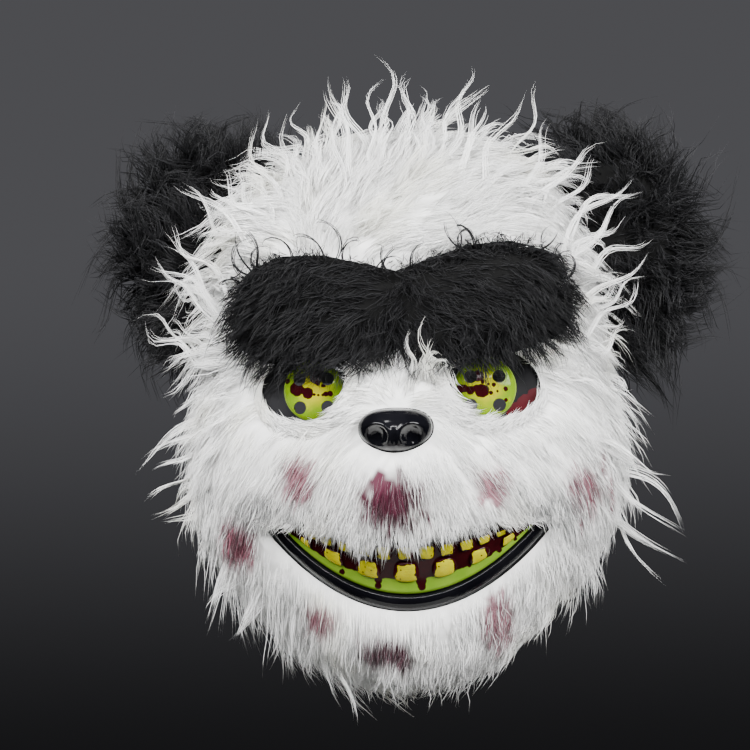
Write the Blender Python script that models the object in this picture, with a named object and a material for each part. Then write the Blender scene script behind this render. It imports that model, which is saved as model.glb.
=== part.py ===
"""A plush panda horror mask for a grown-up's face: a thin moulded shell with raised eyes, nose and
grinning mouth, covered in long-pile fur, with two fur ears, a fur brow patch and an elastic head strap.

Units are metres, +Z is up and the face looks along -Y. The origin is the middle of the opening that
the wearer's face goes into: in the plane of the shell's rim, level with the eyes.

Every surface is a distance from FACE_CENTRE along rays. A ray is named by its turn, the angle round
the face as seen from the front (0 towards +X, a quarter turn up), and its tilt, the angle from -Y.
"""

import math
from collections import namedtuple

import bpy
import numpy as np

# Shell
FACE_CENTRE_DROP = 0.025
FACE_HALF_WIDTH = 0.091
FOREHEAD_REACH = 0.149
CHIN_REACH = 0.117
FACE_DEPTH = 0.070
CHEEK_FULLNESS = 0.013
SHELL_WALL = 0.0015
FOREHEAD_SQUARENESS = 3.0
CHIN_SQUARENESS = 2.0
PROFILE_SQUARENESS = 2.3
CHEEK_ANGLE = math.radians(-8)
CHEEK_SPREAD = math.radians(26)
MUZZLE_RISE = 0.022
SOCKET_SINK = 0.009

# Fur
SEAT_GAP = 0.0004
PILE_HEIGHT = 0.011
BROW_PILE_HEIGHT = 0.014
CUT_GAP = 0.0005
LOCK_SINK = 0.005
LOCK_THICKNESS_SHARE = 0.42

# Eyes
EYE_SPREAD = 0.042
EYE_HEIGHT = 0.001
EYE_RADIUS = 0.0155
EYE_DOME = 0.0045
EYE_WALL = 0.0016
EYE_SKIRT = 0.0045
EYE_PROUD = 0.0020
EYE_TURN = math.radians(9)
PEEPHOLE_RADIUS = 0.0032
PEEPHOLE_SPACING = 0.0140
PEEPHOLE_DROP = 0.0015
FUR_EYE_SHIFT = 0.0045
FUR_EYE_HALF_WIDTH = 0.0225
FUR_EYE_HALF_HEIGHT = 0.0185

# Nose
NOSE_HEIGHT = -0.020
NOSE_HALF_WIDTH = 0.0178
NOSE_HALF_HEIGHT = 0.0105
NOSE_RISE = 0.0125
NOSE_ROUNDNESS = 0.82
NOSE_NARROWING = 0.10
NOSTRIL_SPREAD = 0.0088
NOSTRIL_RADIUS = 0.0052

# Mouth
MOUTH_SHIFT = 0.003
MOUTH_CORNER_HEIGHT = -0.53 * CHIN_REACH
LIP_HALF_WIDTH = 0.0735
LIP_LOWER_DROP = 0.0390
LIP_UPPER_DROP = 0.0140
LIP_CORNER = 0.0070
LIP_BAND = 0.0075
LIP_RISE = 0.0042
GUM_RISE = 0.0018
GUM_SHARE = 0.23
BITE_SHARE = 0.66
TOOTH_RISE = 0.0024
BITE_GAP = 0.0008
TOOTH_TAPER = 0.22
LOWER_TEETH = 7
UPPER_TEETH = 11
LOWER_TOOTH_GAP = 0.0050
UPPER_TOOTH_GAP = 0.0010
LOWER_ROW_SHARE = 0.66
UPPER_ROW_SHARE = 0.56

# Brow patch
BROW_HALF_WIDTH = 0.086
BROW_TOP = 0.071
BROW_TILT = math.radians(3)

# Ears
EAR_SPREAD = 0.100
EAR_HEIGHT = 0.074
EAR_BACK = 0.012
EAR_HALF_WIDTH = 0.043
EAR_HALF_HEIGHT = 0.056
EAR_HALF_THICKNESS = 0.020
HEAD_DEPTH = 0.105

# Head strap
STRAP_WIDTH = 0.015
STRAP_THICKNESS = 0.0012
STRAP_LOOP_DEPTH = 0.125
STRAP_HEIGHT = 0.020
STRAP_TUCK = math.radians(11)
STRAP_GAP = 0.0007

# Facets
TURN_STEPS = 36
TILT_STEPS = 10
HEAD_STEPS = 6
EYE_SIDES = 16
NOSE_SIDES = 16
MOUTH_STEPS = 36

FACE_CENTRE = np.array([0.0, 0.0, -FACE_CENTRE_DROP])
FORWARD = np.array([0.0, -1.0, 0.0])

Bump = namedtuple("Bump", "across up half_width half_height rise")
LockRow = namedtuple("LockRow", "tilt_deg count length width stand")

# Raised and sunk places of the shell: where they are, how far they spread and how high they stand.
# Across and half_width are shares of FACE_HALF_WIDTH, up and half_height of FOREHEAD_REACH.
SHELL_BUMPS = (
    Bump(0.00, -0.29, 0.54, 0.27, MUZZLE_RISE),
    Bump(0.00, -0.12, 0.24, 0.11, 0.30 * MUZZLE_RISE),
    Bump(0.62, 0.36, 0.50, 0.16, 0.26 * MUZZLE_RISE),
    Bump(-0.62, 0.36, 0.50, 0.16, 0.26 * MUZZLE_RISE),
    Bump(0.00, -0.80, 0.50, 0.16, 0.32 * MUZZLE_RISE),
)

# Rows of fur locks from the middle of the face to its rim. Stand is 0 for a lock that lies on the
# face and 1 for one that stands straight out from it.
FACE_LOCK_ROWS = (
    LockRow(24, 9, 0.030, 0.015, 0.00),
    LockRow(38, 12, 0.032, 0.017, 0.06),
    LockRow(52, 15, 0.034, 0.017, 0.20),
    LockRow(66, 17, 0.036, 0.017, 0.50),
    LockRow(82, 21, 0.036, 0.016, 0.90),
)
EAR_LOCK_ROWS = (
    LockRow(52, 6, 0.024, 0.016, 0.35),
    LockRow(90, 13, 0.028, 0.016, 1.00),
    LockRow(128, 5, 0.024, 0.016, 0.35),
)

# A white lock's length at the sides of the face as a share of one at its top. Those under the chin
# are as much shorter again.
LOCK_SIDE_SHARE = 0.72

# How far a white lock keeps from each opening of the face fur, seen from the front.
LOCK_CLEARANCE = {"eye_left": 0.008, "eye_right": 0.008, "nose": 0.008, "mouth": 0.008, "brow": 0.022}

# How close a white lock comes to an ear: 1 at the ear's core, 2 at twice its size.
EAR_LOCK_CLOSENESS = 1.75

# Half of the brow patch's outline, from its top notch round to its bottom notch: across as a share
# of BROW_HALF_WIDTH, up as a share of BROW_TOP.
BROW_OUTLINE = (
    (0.00, 0.83),
    (0.20, 0.90),
    (0.42, 0.98),
    (0.66, 1.00),
    (0.86, 0.94),
    (0.97, 0.80),
    (1.00, 0.60),
    (0.97, 0.41),
    (0.87, 0.31),
    (0.70, 0.24),
    (0.48, 0.19),
    (0.26, 0.19),
    (0.10, 0.23),
    (0.00, 0.28),
)

COLOURS = {
    "black_plastic": ((0.012, 0.012, 0.013), 0.22),
    "eye_green": ((0.52, 0.62, 0.03), 0.18),
    "gum_green": ((0.30, 0.50, 0.08), 0.20),
    "tooth_yellow": ((0.78, 0.68, 0.04), 0.22),
    "white_fur": ((0.82, 0.82, 0.79), 0.85),
    "black_fur": ((0.015, 0.015, 0.017), 0.80),
    "elastic": ((0.05, 0.05, 0.05), 0.75),
}


def clear_scene():
    """Removes whatever the file starts with."""
    for thing in list(bpy.data.objects):
        bpy.data.objects.remove(thing)


def material(name):
    """The named finish as a Principled BSDF, made once."""
    found = bpy.data.materials.get(name)
    if found:
        return found
    colour, roughness = COLOURS[name]
    made = bpy.data.materials.new(name)
    made.use_nodes = True
    shader = made.node_tree.nodes["Principled BSDF"]
    shader.inputs["Base Color"].default_value = (*colour, 1.0)
    shader.inputs["Roughness"].default_value = roughness
    shader.inputs["Metallic"].default_value = 0.0
    return made


def add_mesh(name, points, faces, finish):
    """A named mesh object from arrays of points and faces."""
    mesh = bpy.data.meshes.new(name)
    mesh.from_pydata([tuple(map(float, p)) for p in points], [], faces)
    mesh.update()
    mesh.materials.append(material(finish))
    made = bpy.data.objects.new(name, mesh)
    bpy.context.scene.collection.objects.link(made)
    return made


def add_helper(name, points, faces):
    """A cutter or a lock that a Boolean reads, which isn't a piece of the mask itself."""
    helper = add_mesh(name, points, faces, "black_plastic")
    helper.hide_render = True
    helper.display_type = "WIRE"
    return helper


def boolean(target, operation, other):
    """Adds a Boolean of target with one helper, or with a list of helpers."""
    modifier = target.modifiers.new(operation.lower(), "BOOLEAN")
    modifier.operation = operation
    modifier.solver = "EXACT"
    if isinstance(other, list):
        group = bpy.data.collections.new(target.name + "_" + operation.lower())
        bpy.context.scene.collection.children.link(group)
        for helper in other:
            bpy.context.scene.collection.objects.unlink(helper)
            group.objects.link(helper)
        modifier.operand_type = "COLLECTION"
        modifier.collection = group
    else:
        modifier.object = other


def shade(target, angle_deg=40):
    """Smooth shading, with edges sharper than the angle left sharp."""
    target.data.shade_smooth()
    target.data.set_sharp_from_angle(angle=math.radians(angle_deg))


def unit(vectors):
    """Vectors scaled to length one."""
    vectors = np.asarray(vectors, float)
    return vectors / np.linalg.norm(vectors, axis=-1, keepdims=True)


def rays(turn, tilt):
    """Unit vectors from FACE_CENTRE for turn and tilt angles."""
    turn, tilt = np.broadcast_arrays(turn, tilt)
    return np.stack(
        [np.sin(tilt) * np.cos(turn), -np.cos(tilt), np.sin(tilt) * np.sin(turn)], axis=-1
    )


def rim_reach(turn):
    """From FACE_CENTRE to the shell's rim: a squarish arch above, a rounder one below, full cheeks."""
    up = np.sin(turn) >= 0
    power = np.where(up, FOREHEAD_SQUARENESS, CHIN_SQUARENESS)
    height = np.where(up, FOREHEAD_REACH, CHIN_REACH)
    across = np.abs(np.cos(turn)) / FACE_HALF_WIDTH
    along = np.abs(np.sin(turn)) / height
    climb = np.arcsin(np.clip(np.sin(turn), -1, 1))
    cheek = CHEEK_FULLNESS * np.exp(-(((climb - CHEEK_ANGLE) / CHEEK_SPREAD) ** 2))
    return (across**power + along**power) ** (-1 / power) + cheek


def dome_reach(turn, tilt):
    """From FACE_CENTRE to the plain dome. Past the rim it goes on as the room for the wearer's head."""
    depth = np.where(np.cos(tilt) > 0, FACE_DEPTH, HEAD_DEPTH)
    across = np.sin(tilt) / rim_reach(turn)
    along = np.abs(np.cos(tilt)) / depth
    return (across**PROFILE_SQUARENESS + along**PROFILE_SQUARENESS) ** (-1 / PROFILE_SQUARENESS)


def relief(x, z):
    """How far the muzzle, brows and chin stand out at a place seen from the front, less the eye sockets."""
    height = np.zeros(np.broadcast(x, z).shape)
    for bump in SHELL_BUMPS:
        across = (x - bump.across * FACE_HALF_WIDTH) / (bump.half_width * FACE_HALF_WIDTH)
        up = (z - bump.up * FOREHEAD_REACH) / (bump.half_height * FOREHEAD_REACH)
        height = height + bump.rise * np.exp(-(across**2 + up**2))
    for side in (-1, 1):
        across = (x - side * (EYE_SPREAD + FUR_EYE_SHIFT)) / FUR_EYE_HALF_WIDTH
        up = (z - EYE_HEIGHT) / FUR_EYE_HALF_HEIGHT
        height = height - SOCKET_SINK * np.exp(-((across**2 + up**2) ** 2))
    return height


def face_point(turn, tilt, lift=0.0):
    """Points on the shell's outer surface, or lifted off it along their rays."""
    turn, tilt = np.broadcast_arrays(turn, tilt)
    reach = dome_reach(turn, tilt)
    seen = reach * np.sin(tilt)
    fade = np.clip(np.cos(tilt) / 0.35, 0, 1)
    rise = relief(seen * np.cos(turn), seen * np.sin(turn) + FACE_CENTRE[2]) * fade
    return FACE_CENTRE + rays(turn, tilt) * (reach + rise + lift)[..., None]


def on_face(x, z, lift=0.0):
    """Points on the lifted surface whose place, seen from the front, is x and z. Found by halving the tilt."""
    x, z, lift = np.broadcast_arrays(np.asarray(x, float), z, lift)
    turn = np.arctan2(z - FACE_CENTRE[2], x)
    goal = np.hypot(x, z - FACE_CENTRE[2])
    low = np.zeros(goal.shape)
    high = np.full(goal.shape, math.pi / 2)
    for _ in range(28):
        middle = (low + high) / 2
        found = face_point(turn, middle, lift) - FACE_CENTRE
        short = np.hypot(found[..., 0], found[..., 2]) < goal
        low = np.where(short, middle, low)
        high = np.where(short, high, middle)
    return face_point(turn, low, lift)


def face_normal(turn, tilt, lift=0.0, step=0.02):
    """Outward normals, from the surface's slope either side of each point."""
    along_turn = face_point(turn + step, tilt, lift) - face_point(turn - step, tilt, lift)
    along_tilt = face_point(turn, tilt + step, lift) - face_point(turn, tilt - step, lift)
    return unit(np.cross(along_turn, along_tilt))


def ring_strips(first, second, count):
    """Quads between two closed rings of points that start at the given indices."""
    return [
        (first + i, first + (i + 1) % count, second + (i + 1) % count, second + i)
        for i in range(count)
    ]


def ring_triangles(first, second, count):
    """The same strip in triangles, so that two surfaces with one grid are cut along the same diagonals."""
    return [t for a, b, c, d in ring_strips(first, second, count) for t in ((a, b, c), (a, c, d))]


def dome_grid(lift, steps=TILT_STEPS):
    """A pole point and rings of points on the lifted surface. TILT_STEPS of them reach the rim."""
    turn = np.arange(TURN_STEPS) * 2 * math.pi / TURN_STEPS
    tilt = np.arange(1, steps + 1) * (math.pi / 2) / TILT_STEPS
    rings = face_point(turn[None, :], tilt[:, None], lift).reshape(-1, 3)
    return np.vstack([face_point(np.array([0.0]), np.array([0.0]), lift), rings])


def dome_faces(start, steps, outward):
    """Faces over the points that dome_grid gives, starting at index start."""
    faces = [(start, start + 1 + i, start + 1 + (i + 1) % TURN_STEPS) for i in range(TURN_STEPS)]
    for ring in range(steps - 1):
        inner = start + 1 + ring * TURN_STEPS
        faces += [face[::-1] for face in ring_triangles(inner, inner + TURN_STEPS, TURN_STEPS)]
    return faces if outward else [face[::-1] for face in faces]


def face_wall(low_lift, high_lift):
    """Points and faces of a wall that follows the face between two lifts, open at the back."""
    outer = dome_grid(high_lift)
    inner = dome_grid(low_lift)
    count = len(outer)
    rim = count - TURN_STEPS
    faces = dome_faces(0, TILT_STEPS, outward=True)
    faces += dome_faces(count, TILT_STEPS, outward=False)
    faces += [face[::-1] for face in ring_strips(rim, count + rim, TURN_STEPS)]
    return np.vstack([outer, inner]), faces


def seat_body(name, lift, steps=TILT_STEPS):
    """A closed body as far out as lift, which gives what is cut with it a seat on that surface."""
    points = dome_grid(lift, steps)
    faces = dome_faces(0, steps, outward=True)
    rim = len(points) - TURN_STEPS
    faces.append(tuple(range(rim, rim + TURN_STEPS)))
    return add_helper(name, points, faces)


def prism(name, outline, near=-0.16, far=0.02):
    """A cutter that runs along Y, from the outline's places seen from the front, given anticlockwise."""
    count = len(outline)
    points = [(x, y, z) for y in (near, far) for x, z in outline]
    faces = [tuple(range(count)), tuple(range(2 * count - 1, count - 1, -1))]
    faces += [face[::-1] for face in ring_strips(0, count, count)]
    return add_helper(name, points, faces)


def oval(x, z, half_width, half_height, sides=18):
    """An ellipse's outline, anticlockwise as seen from the front."""
    angle = np.arange(sides) * 2 * math.pi / sides
    return [(x + half_width * math.cos(a), z + half_height * math.sin(a)) for a in angle]


def grown(outline, by):
    """An anticlockwise outline moved outwards by a distance, along the normal at each point."""
    points = np.array(outline)
    along = unit(np.roll(points, -1, axis=0) - np.roll(points, 1, axis=0))
    return points + by * np.stack([along[:, 1], -along[:, 0]], axis=-1)


def brow_outline():
    """The brow patch's whole outline, mirrored from its half and turned a little, as worn."""
    half = [(a * BROW_HALF_WIDTH, u * BROW_TOP) for a, u in BROW_OUTLINE]
    whole = half[::-1] + [(-x, z) for x, z in half[1:-1]]
    cos, sin = math.cos(BROW_TILT), math.sin(BROW_TILT)
    middle = BROW_TOP * 0.6
    return [(x * cos - (z - middle) * sin, middle + x * sin + (z - middle) * cos) for x, z in whole]


def mouth_curve(angle, inset=0.0):
    """A crescent seen from the front: its lower arc where the sine is negative, its upper arc above.
    Inset moves it inwards on every side."""
    sine = np.sin(angle)
    drop = np.where(sine < 0, LIP_LOWER_DROP - 0.45 * inset, LIP_UPPER_DROP + 0.2 * inset)
    x = MOUTH_SHIFT + (LIP_HALF_WIDTH - inset) * np.cos(angle)
    z = MOUTH_CORNER_HEIGHT - drop * sine**2 + (LIP_CORNER - 0.60 * inset) * sine
    return x, z


def mouth_height(x, inset, lower):
    """Heights of the inset crescent's lower or upper arc at places across it."""
    cosine = np.clip((x - MOUTH_SHIFT) / (LIP_HALF_WIDTH - inset), -1, 1)
    angle = np.arccos(cosine)
    return mouth_curve(-angle if lower else angle, inset)[1]


def mouth_outline(inset, skipped=0):
    """The inset crescent's outline, anticlockwise. Skipped leaves out as many steps at each corner."""
    steps = np.arange(MOUTH_STEPS)
    from_corner = np.minimum(steps % (MOUTH_STEPS // 2), -steps % (MOUTH_STEPS // 2))
    angle = steps[from_corner >= skipped] * 2 * math.pi / MOUTH_STEPS
    return list(zip(*mouth_curve(angle, inset)))


def lock(name, root, heading, normal, length, width, bend):
    """One lock of fur: a flat tapering horn that starts sunk in its backing and curls along bend."""
    heading = unit(heading)
    side = unit(np.cross(heading, normal))
    upper = np.cross(side, heading)
    stations = ((0.0, 1.0), (0.35, 0.95), (0.70, 0.58))
    points = []
    for along, share in stations:
        middle = root + length * (along * heading + along**2 * np.asarray(bend))
        half = width * share / 2
        across = side * half
        thick = upper * half * LOCK_THICKNESS_SHARE
        points += [middle + across, middle + thick, middle - across, middle - thick]
    points.append(root + length * (heading + np.asarray(bend)))
    tip = len(points) - 1
    faces = [(0, 1, 2, 3)]
    for ring in (0, 4):
        faces += [face[::-1] for face in ring_strips(ring, ring + 4, 4)]
    faces += [(8 + (i + 1) % 4, 8 + i, tip) for i in range(4)]
    return add_helper(name, points, faces)


def comb(x, z):
    """Which way the fur is combed at a place seen from the front: away from the nose, and lower down
    the face more and more downwards."""
    away = np.stack([x, 0 * x, z - NOSE_HEIGHT], axis=-1)
    away = away / np.maximum(np.linalg.norm(away, axis=-1, keepdims=True), 1e-6)
    hang = 0.75 * np.clip(1 - (z + 0.02) / 0.09, 0, 1)
    return unit(away + hang[..., None] * np.array([0.0, 0.0, -1.0]))


def outside_by(outline, x, z):
    """How far a place seen from the front is outside an outline, and below zero inside it."""
    start = np.array(outline)
    edge = np.roll(start, -1, axis=0) - start
    offset = np.array([x, z]) - start
    share = np.clip(np.sum(offset * edge, axis=1) / np.sum(edge**2, axis=1), 0, 1)
    distance = np.min(np.linalg.norm(offset - share[:, None] * edge, axis=1))
    above = start[:, 1] > z
    crossing = above != np.roll(above, -1)
    reach = start[:, 0] + offset[:, 1] * edge[:, 0] / np.where(crossing, edge[:, 1], 1.0)
    is_inside = np.count_nonzero(crossing & (x < reach)) % 2 == 1
    return -distance if is_inside else distance


def ear_closeness(point):
    """Below 1 inside an ear's core, and more than 1 outside it."""
    offset = (abs(point[0]) - EAR_SPREAD, point[1] - EAR_BACK, point[2] - EAR_HEIGHT)
    sizes = (EAR_HALF_WIDTH, EAR_HALF_THICKNESS, EAR_HALF_HEIGHT)
    return math.sqrt(sum((o / s) ** 2 for o, s in zip(offset, sizes)))


def nose_outline():
    """The nose's outline: squarish, and narrower below."""
    angle = np.arange(NOSE_SIDES) * 2 * math.pi / NOSE_SIDES
    across, up = squarish(angle, NOSE_ROUNDNESS).T
    x = NOSE_HALF_WIDTH * across * (1 + NOSE_NARROWING * up)
    return list(zip(x, NOSE_HEIGHT + NOSE_HALF_HEIGHT * up))


def fur_openings():
    """Outlines that the face fur is cut back from: both eyes, the nose, the mouth and the brow patch."""
    eyes = [
        oval(side * (EYE_SPREAD + FUR_EYE_SHIFT), EYE_HEIGHT, FUR_EYE_HALF_WIDTH, FUR_EYE_HALF_HEIGHT)
        for side in (-1, 1)
    ]
    return {
        "eye_left": eyes[0],
        "eye_right": eyes[1],
        "nose": grown(nose_outline(), CUT_GAP),
        "mouth": grown(mouth_outline(0.0), CUT_GAP),
        "brow": grown(brow_outline(), CUT_GAP),
    }


def face_locks(openings):
    """The white locks: staggered rows round the face, left out where they would cover an opening or
    meet an ear."""
    made = []
    for number, row in enumerate(FACE_LOCK_ROWS):
        for i in range(row.count):
            turn = 2 * math.pi * (i + 0.5 * (number % 2)) / row.count + math.pi / 2
            tilt = math.radians(row.tilt_deg)
            root = face_point(turn, tilt, PILE_HEIGHT - LOCK_SINK)
            normal = face_normal(turn, tilt, PILE_HEIGHT)
            combed = comb(root[0], root[2])
            lying = combed - normal * np.dot(combed, normal)
            standing = combed + 0.30 * FORWARD
            heading = unit((1 - row.stand) * (unit(lying) + 0.30 * normal) + row.stand * standing)
            uneven = 1 + 0.22 * math.sin(2.4 * i + number)
            length = row.length * uneven * (LOCK_SIDE_SHARE + (1 - LOCK_SIDE_SHARE) * math.sin(turn))
            bend = -0.10 * normal + np.array([0.10 * math.cos(3.1 * i), 0.0, -0.12])
            spots = [root + length * (t * heading + t**2 * bend) for t in (0.0, 0.25, 0.5, 0.75, 1.0)]
            if any(ear_closeness(p) < EAR_LOCK_CLOSENESS for p in spots):
                continue
            if any(
                outside_by(outline, p[0], p[2]) < LOCK_CLEARANCE[opening]
                for opening, outline in openings.items()
                for p in spots
            ):
                continue
            name = f"white_lock_{number}_{i}"
            made.append(lock(name, root, heading, normal, length, row.width, bend))
    return made


def make_shell():
    """The moulded shell, with a round port for each eye."""
    points, faces = face_wall(-SHELL_WALL, 0.0)
    shell = add_mesh("face_shell", points, faces, "black_plastic")
    port = EYE_RADIUS + SEAT_GAP
    for side, name in ((-1, "left"), (1, "right")):
        centre, axis, across, up = eye_frame(side)
        cutter = turned(
            "eye_port_" + name,
            [(0.0, EYE_RADIUS), (port, EYE_RADIUS), (port, -HEAD_DEPTH), (0.0, -HEAD_DEPTH)],
            centre, axis, across, up,
        )
        boolean(shell, "DIFFERENCE", cutter)
    shade(shell)


def eye_frame(side):
    """An eye's centre in the plane of its edge, its outward axis and two directions across it."""
    floor = on_face(side * EYE_SPREAD, EYE_HEIGHT)
    axis = np.array([side * math.sin(EYE_TURN), -math.cos(EYE_TURN), 0.0])
    across = np.array([math.cos(EYE_TURN), side * math.sin(EYE_TURN), 0.0])
    return floor + axis * EYE_PROUD, axis, across, np.array([0.0, 0.0, 1.0])


def turned_arrays(profile, centre, axis, across, up, sides=EYE_SIDES):
    """Points and faces of a profile of (radius, height) turned about an axis. Its ends lie on the axis."""
    angle = np.arange(sides) * 2 * math.pi / sides
    spokes = np.cos(angle)[:, None] * across + np.sin(angle)[:, None] * up
    points = [centre + axis * profile[0][1]]
    for radius, height in profile[1:-1]:
        points += list(centre + axis * height + spokes * radius)
    points.append(centre + axis * profile[-1][1])
    rings = len(profile) - 2
    last = len(points) - 1
    faces = [(0, 1 + i, 1 + (i + 1) % sides) for i in range(sides)]
    for ring in range(rings - 1):
        start = 1 + ring * sides
        faces += [face[::-1] for face in ring_strips(start, start + sides, sides)]
    start = 1 + (rings - 1) * sides
    faces += [(start + (i + 1) % sides, start + i, last) for i in range(sides)]
    return np.array(points), faces


def turned(name, profile, centre, axis, across, up):
    """A turned cutter."""
    return add_helper(name, *turned_arrays(profile, centre, axis, across, up))


def make_eye(side, name):
    """One domed eye disc with a skirt that drops into the shell's port and four peepholes."""
    centre, axis, across, up = eye_frame(side)
    arc = [(math.sin(a), math.cos(a)) for a in np.linspace(0, math.pi / 2, 4)]
    bore = EYE_RADIUS - EYE_WALL
    outer = [(EYE_RADIUS * s, EYE_DOME * c) for s, c in arc]
    inner = [(bore * s, (EYE_DOME - EYE_WALL) * c - 0.0002) for s, c in arc]
    profile = [*outer, (EYE_RADIUS, -EYE_SKIRT), (bore, -EYE_SKIRT), *inner[::-1]]
    eye = add_mesh(name, *turned_arrays(profile, centre, axis, across, up), "eye_green")
    for row in (-0.5, 0.5):
        for column in (-0.5, 0.5):
            x = centre[0] + column * PEEPHOLE_SPACING
            z = centre[2] + row * PEEPHOLE_SPACING - PEEPHOLE_DROP
            hole = oval(x, z, PEEPHOLE_RADIUS, PEEPHOLE_RADIUS, 10)
            cutter = prism(f"{name}_peephole_{column}_{row}", hole, centre[1] - 0.02, centre[1] + 0.02)
            boolean(eye, "DIFFERENCE", cutter)
    shade(eye)


def squarish(angle, roundness):
    """Places round a unit circle, pushed towards its corners where roundness is below 1."""
    around = np.stack([np.cos(angle), np.sin(angle)], axis=-1)
    return np.sign(around) * np.abs(around) ** roundness


def ellipsoid(name, centre, sizes, sides=14, rings=8, roundness=1.0, finish=None, narrow=0.0):
    """A ball stretched to three half-sizes, squarer for a lower roundness and narrower below by a share.
    A helper unless a finish is given."""
    around = squarish(np.arange(sides) * 2 * math.pi / sides, roundness)
    tilt = np.linspace(0, math.pi, rings + 1)[1:-1]
    points = [(0.0, -1.0, 0.0)]
    for t in tilt:
        points += [(math.sin(t) * c, -math.cos(t), math.sin(t) * s) for c, s in around]
    points.append((0.0, 1.0, 0.0))
    points = np.array(points)
    points[:, 0] *= 1 + narrow * points[:, 2]
    points = np.asarray(centre) + points * np.asarray(sizes)
    faces = [(0, 1 + i, 1 + (i + 1) % sides) for i in range(sides)]
    for ring in range(rings - 2):
        start = 1 + ring * sides
        faces += [face[::-1] for face in ring_strips(start, start + sides, sides)]
    start = 1 + (rings - 2) * sides
    last = len(points) - 1
    faces += [(start + (i + 1) % sides, start + i, last) for i in range(sides)]
    if finish:
        return add_mesh(name, points, faces, finish)
    return add_helper(name, points, faces)


def make_nose(seat):
    """The moulded nose: a squarish button with two nostrils, cut to sit on the muzzle."""
    base = on_face(0.0, NOSE_HEIGHT)
    sizes = (NOSE_HALF_WIDTH, NOSE_RISE, NOSE_HALF_HEIGHT)
    nose = ellipsoid(
        "nose", base, sizes, NOSE_SIDES, 7, NOSE_ROUNDNESS, finish="black_plastic", narrow=NOSE_NARROWING
    )
    boolean(nose, "DIFFERENCE", seat)
    for side in (-1, 1):
        place = base + np.array([side * NOSTRIL_SPREAD, -0.80 * NOSE_RISE, -0.38 * NOSE_HALF_HEIGHT])
        hollow = (NOSTRIL_RADIUS, 0.75 * NOSTRIL_RADIUS, 0.78 * NOSTRIL_RADIUS)
        boolean(nose, "DIFFERENCE", ellipsoid(f"nostril_{side}", place, hollow, 10, 6))
    shade(nose, 55)


def make_lip(seat):
    """The glossy lip: a rounded band round the crescent of the mouth."""
    angle = np.arange(MOUTH_STEPS) * 2 * math.pi / MOUTH_STEPS
    section = ((0.0, -0.6), (0.0, 0.25), (0.28, 0.92), (0.62, 1.0), (1.0, 0.45), (1.0, -0.6))
    points = []
    for inwards, height in section:
        x, z = mouth_curve(angle, inwards * LIP_BAND)
        points += list(on_face(x, z, height * LIP_RISE))
    faces = []
    for k in range(len(section)):
        after = (k + 1) % len(section)
        faces += ring_strips(k * MOUTH_STEPS, after * MOUTH_STEPS, MOUTH_STEPS)
    lip = add_mesh("mouth_lip", points, faces, "black_plastic")
    boolean(lip, "DIFFERENCE", seat)
    shade(lip, 50)


def make_gum():
    """The green gum plate that fills the lip."""
    points, faces = face_wall(SEAT_GAP, GUM_RISE)
    gum = add_mesh("mouth_gum", points, faces, "gum_green")
    boolean(gum, "INTERSECT", prism("gum_outline", grown(mouth_outline(LIP_BAND, 2), -CUT_GAP)))
    shade(gum)


def make_tooth(name, x, half_width, root, bite, seat):
    """One tooth: a domed pad cut to sit on the gum, narrower at its bite. Root and bite give its heights
    at any place across."""
    sides = 8
    angle = np.arange(sides) * 2 * math.pi / sides + math.pi / sides
    across, up = squarish(angle, 0.8).T

    def places(share):
        wide = x + share * half_width * across * (1 - TOOTH_TAPER * (up + 1) / 2)
        rise = (1 + share * up) / 2
        return wide, root(wide) + rise * (bite(wide) - root(wide))

    points = []
    for share, lift in ((1.0, 0.0), (1.0, GUM_RISE + 0.4 * TOOTH_RISE), (0.72, GUM_RISE + 0.9 * TOOTH_RISE)):
        points += list(on_face(*places(share), lift))
    middle = (root(x) + bite(x)) / 2
    points.append(on_face(x, middle, GUM_RISE + TOOTH_RISE))
    points.append(on_face(x, middle, 0.0))
    front, back = 3 * sides, 3 * sides + 1
    faces = ring_strips(0, sides, sides) + ring_strips(sides, 2 * sides, sides)
    faces += [(2 * sides + i, 2 * sides + (i + 1) % sides, front) for i in range(sides)]
    faces += [((i + 1) % sides, i, back) for i in range(sides)]
    if root(x) > bite(x):
        faces = [face[::-1] for face in faces]
    tooth = add_mesh(name, points, faces, "tooth_yellow")
    boolean(tooth, "DIFFERENCE", seat)
    shade(tooth, 70)


def make_teeth():
    """Both rows of teeth, shared out along the gum and meeting at a bite line."""
    seat = seat_body("tooth_seat", GUM_RISE + SEAT_GAP)
    inset = LIP_BAND + 2 * CUT_GAP

    def level(share, gap):
        def height(x):
            low = mouth_height(x, inset, lower=True)
            high = mouth_height(x, inset, lower=False)
            return low + share * (high - low) + gap

        return height

    lower_bite = level(BITE_SHARE, -BITE_GAP / 2)
    upper_bite = level(BITE_SHARE, BITE_GAP / 2)
    rows = (
        ("lower", LOWER_TEETH, LOWER_TOOTH_GAP, LOWER_ROW_SHARE, level(GUM_SHARE, 0), lower_bite),
        ("upper", UPPER_TEETH, UPPER_TOOTH_GAP, UPPER_ROW_SHARE, level(1, -BITE_GAP), upper_bite),
    )
    for row, count, gap, span, root, bite in rows:
        reach = (LIP_HALF_WIDTH - inset) * np.sin(np.linspace(-1, 1, count + 1) * math.pi / 2 * span)
        for i in range(count):
            x = MOUTH_SHIFT + (reach[i] + reach[i + 1]) / 2
            half_width = (reach[i + 1] - reach[i] - gap) / 2
            make_tooth(f"tooth_{row}_{i + 1}", x, half_width, root, bite, seat)


def make_face_fur():
    """The white fur cover: a thick pile on its backing, cut back round the eyes, nose, mouth and brow
    patch, with locks over it and round its rim."""
    points, faces = face_wall(SEAT_GAP, PILE_HEIGHT)
    fur = add_mesh("face_fur", points, faces, "white_fur")
    openings = fur_openings()
    for name, outline in openings.items():
        boolean(fur, "DIFFERENCE", prism("fur_opening_" + name, outline))
    boolean(fur, "UNION", face_locks(openings))
    shade(fur, 60)


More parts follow.
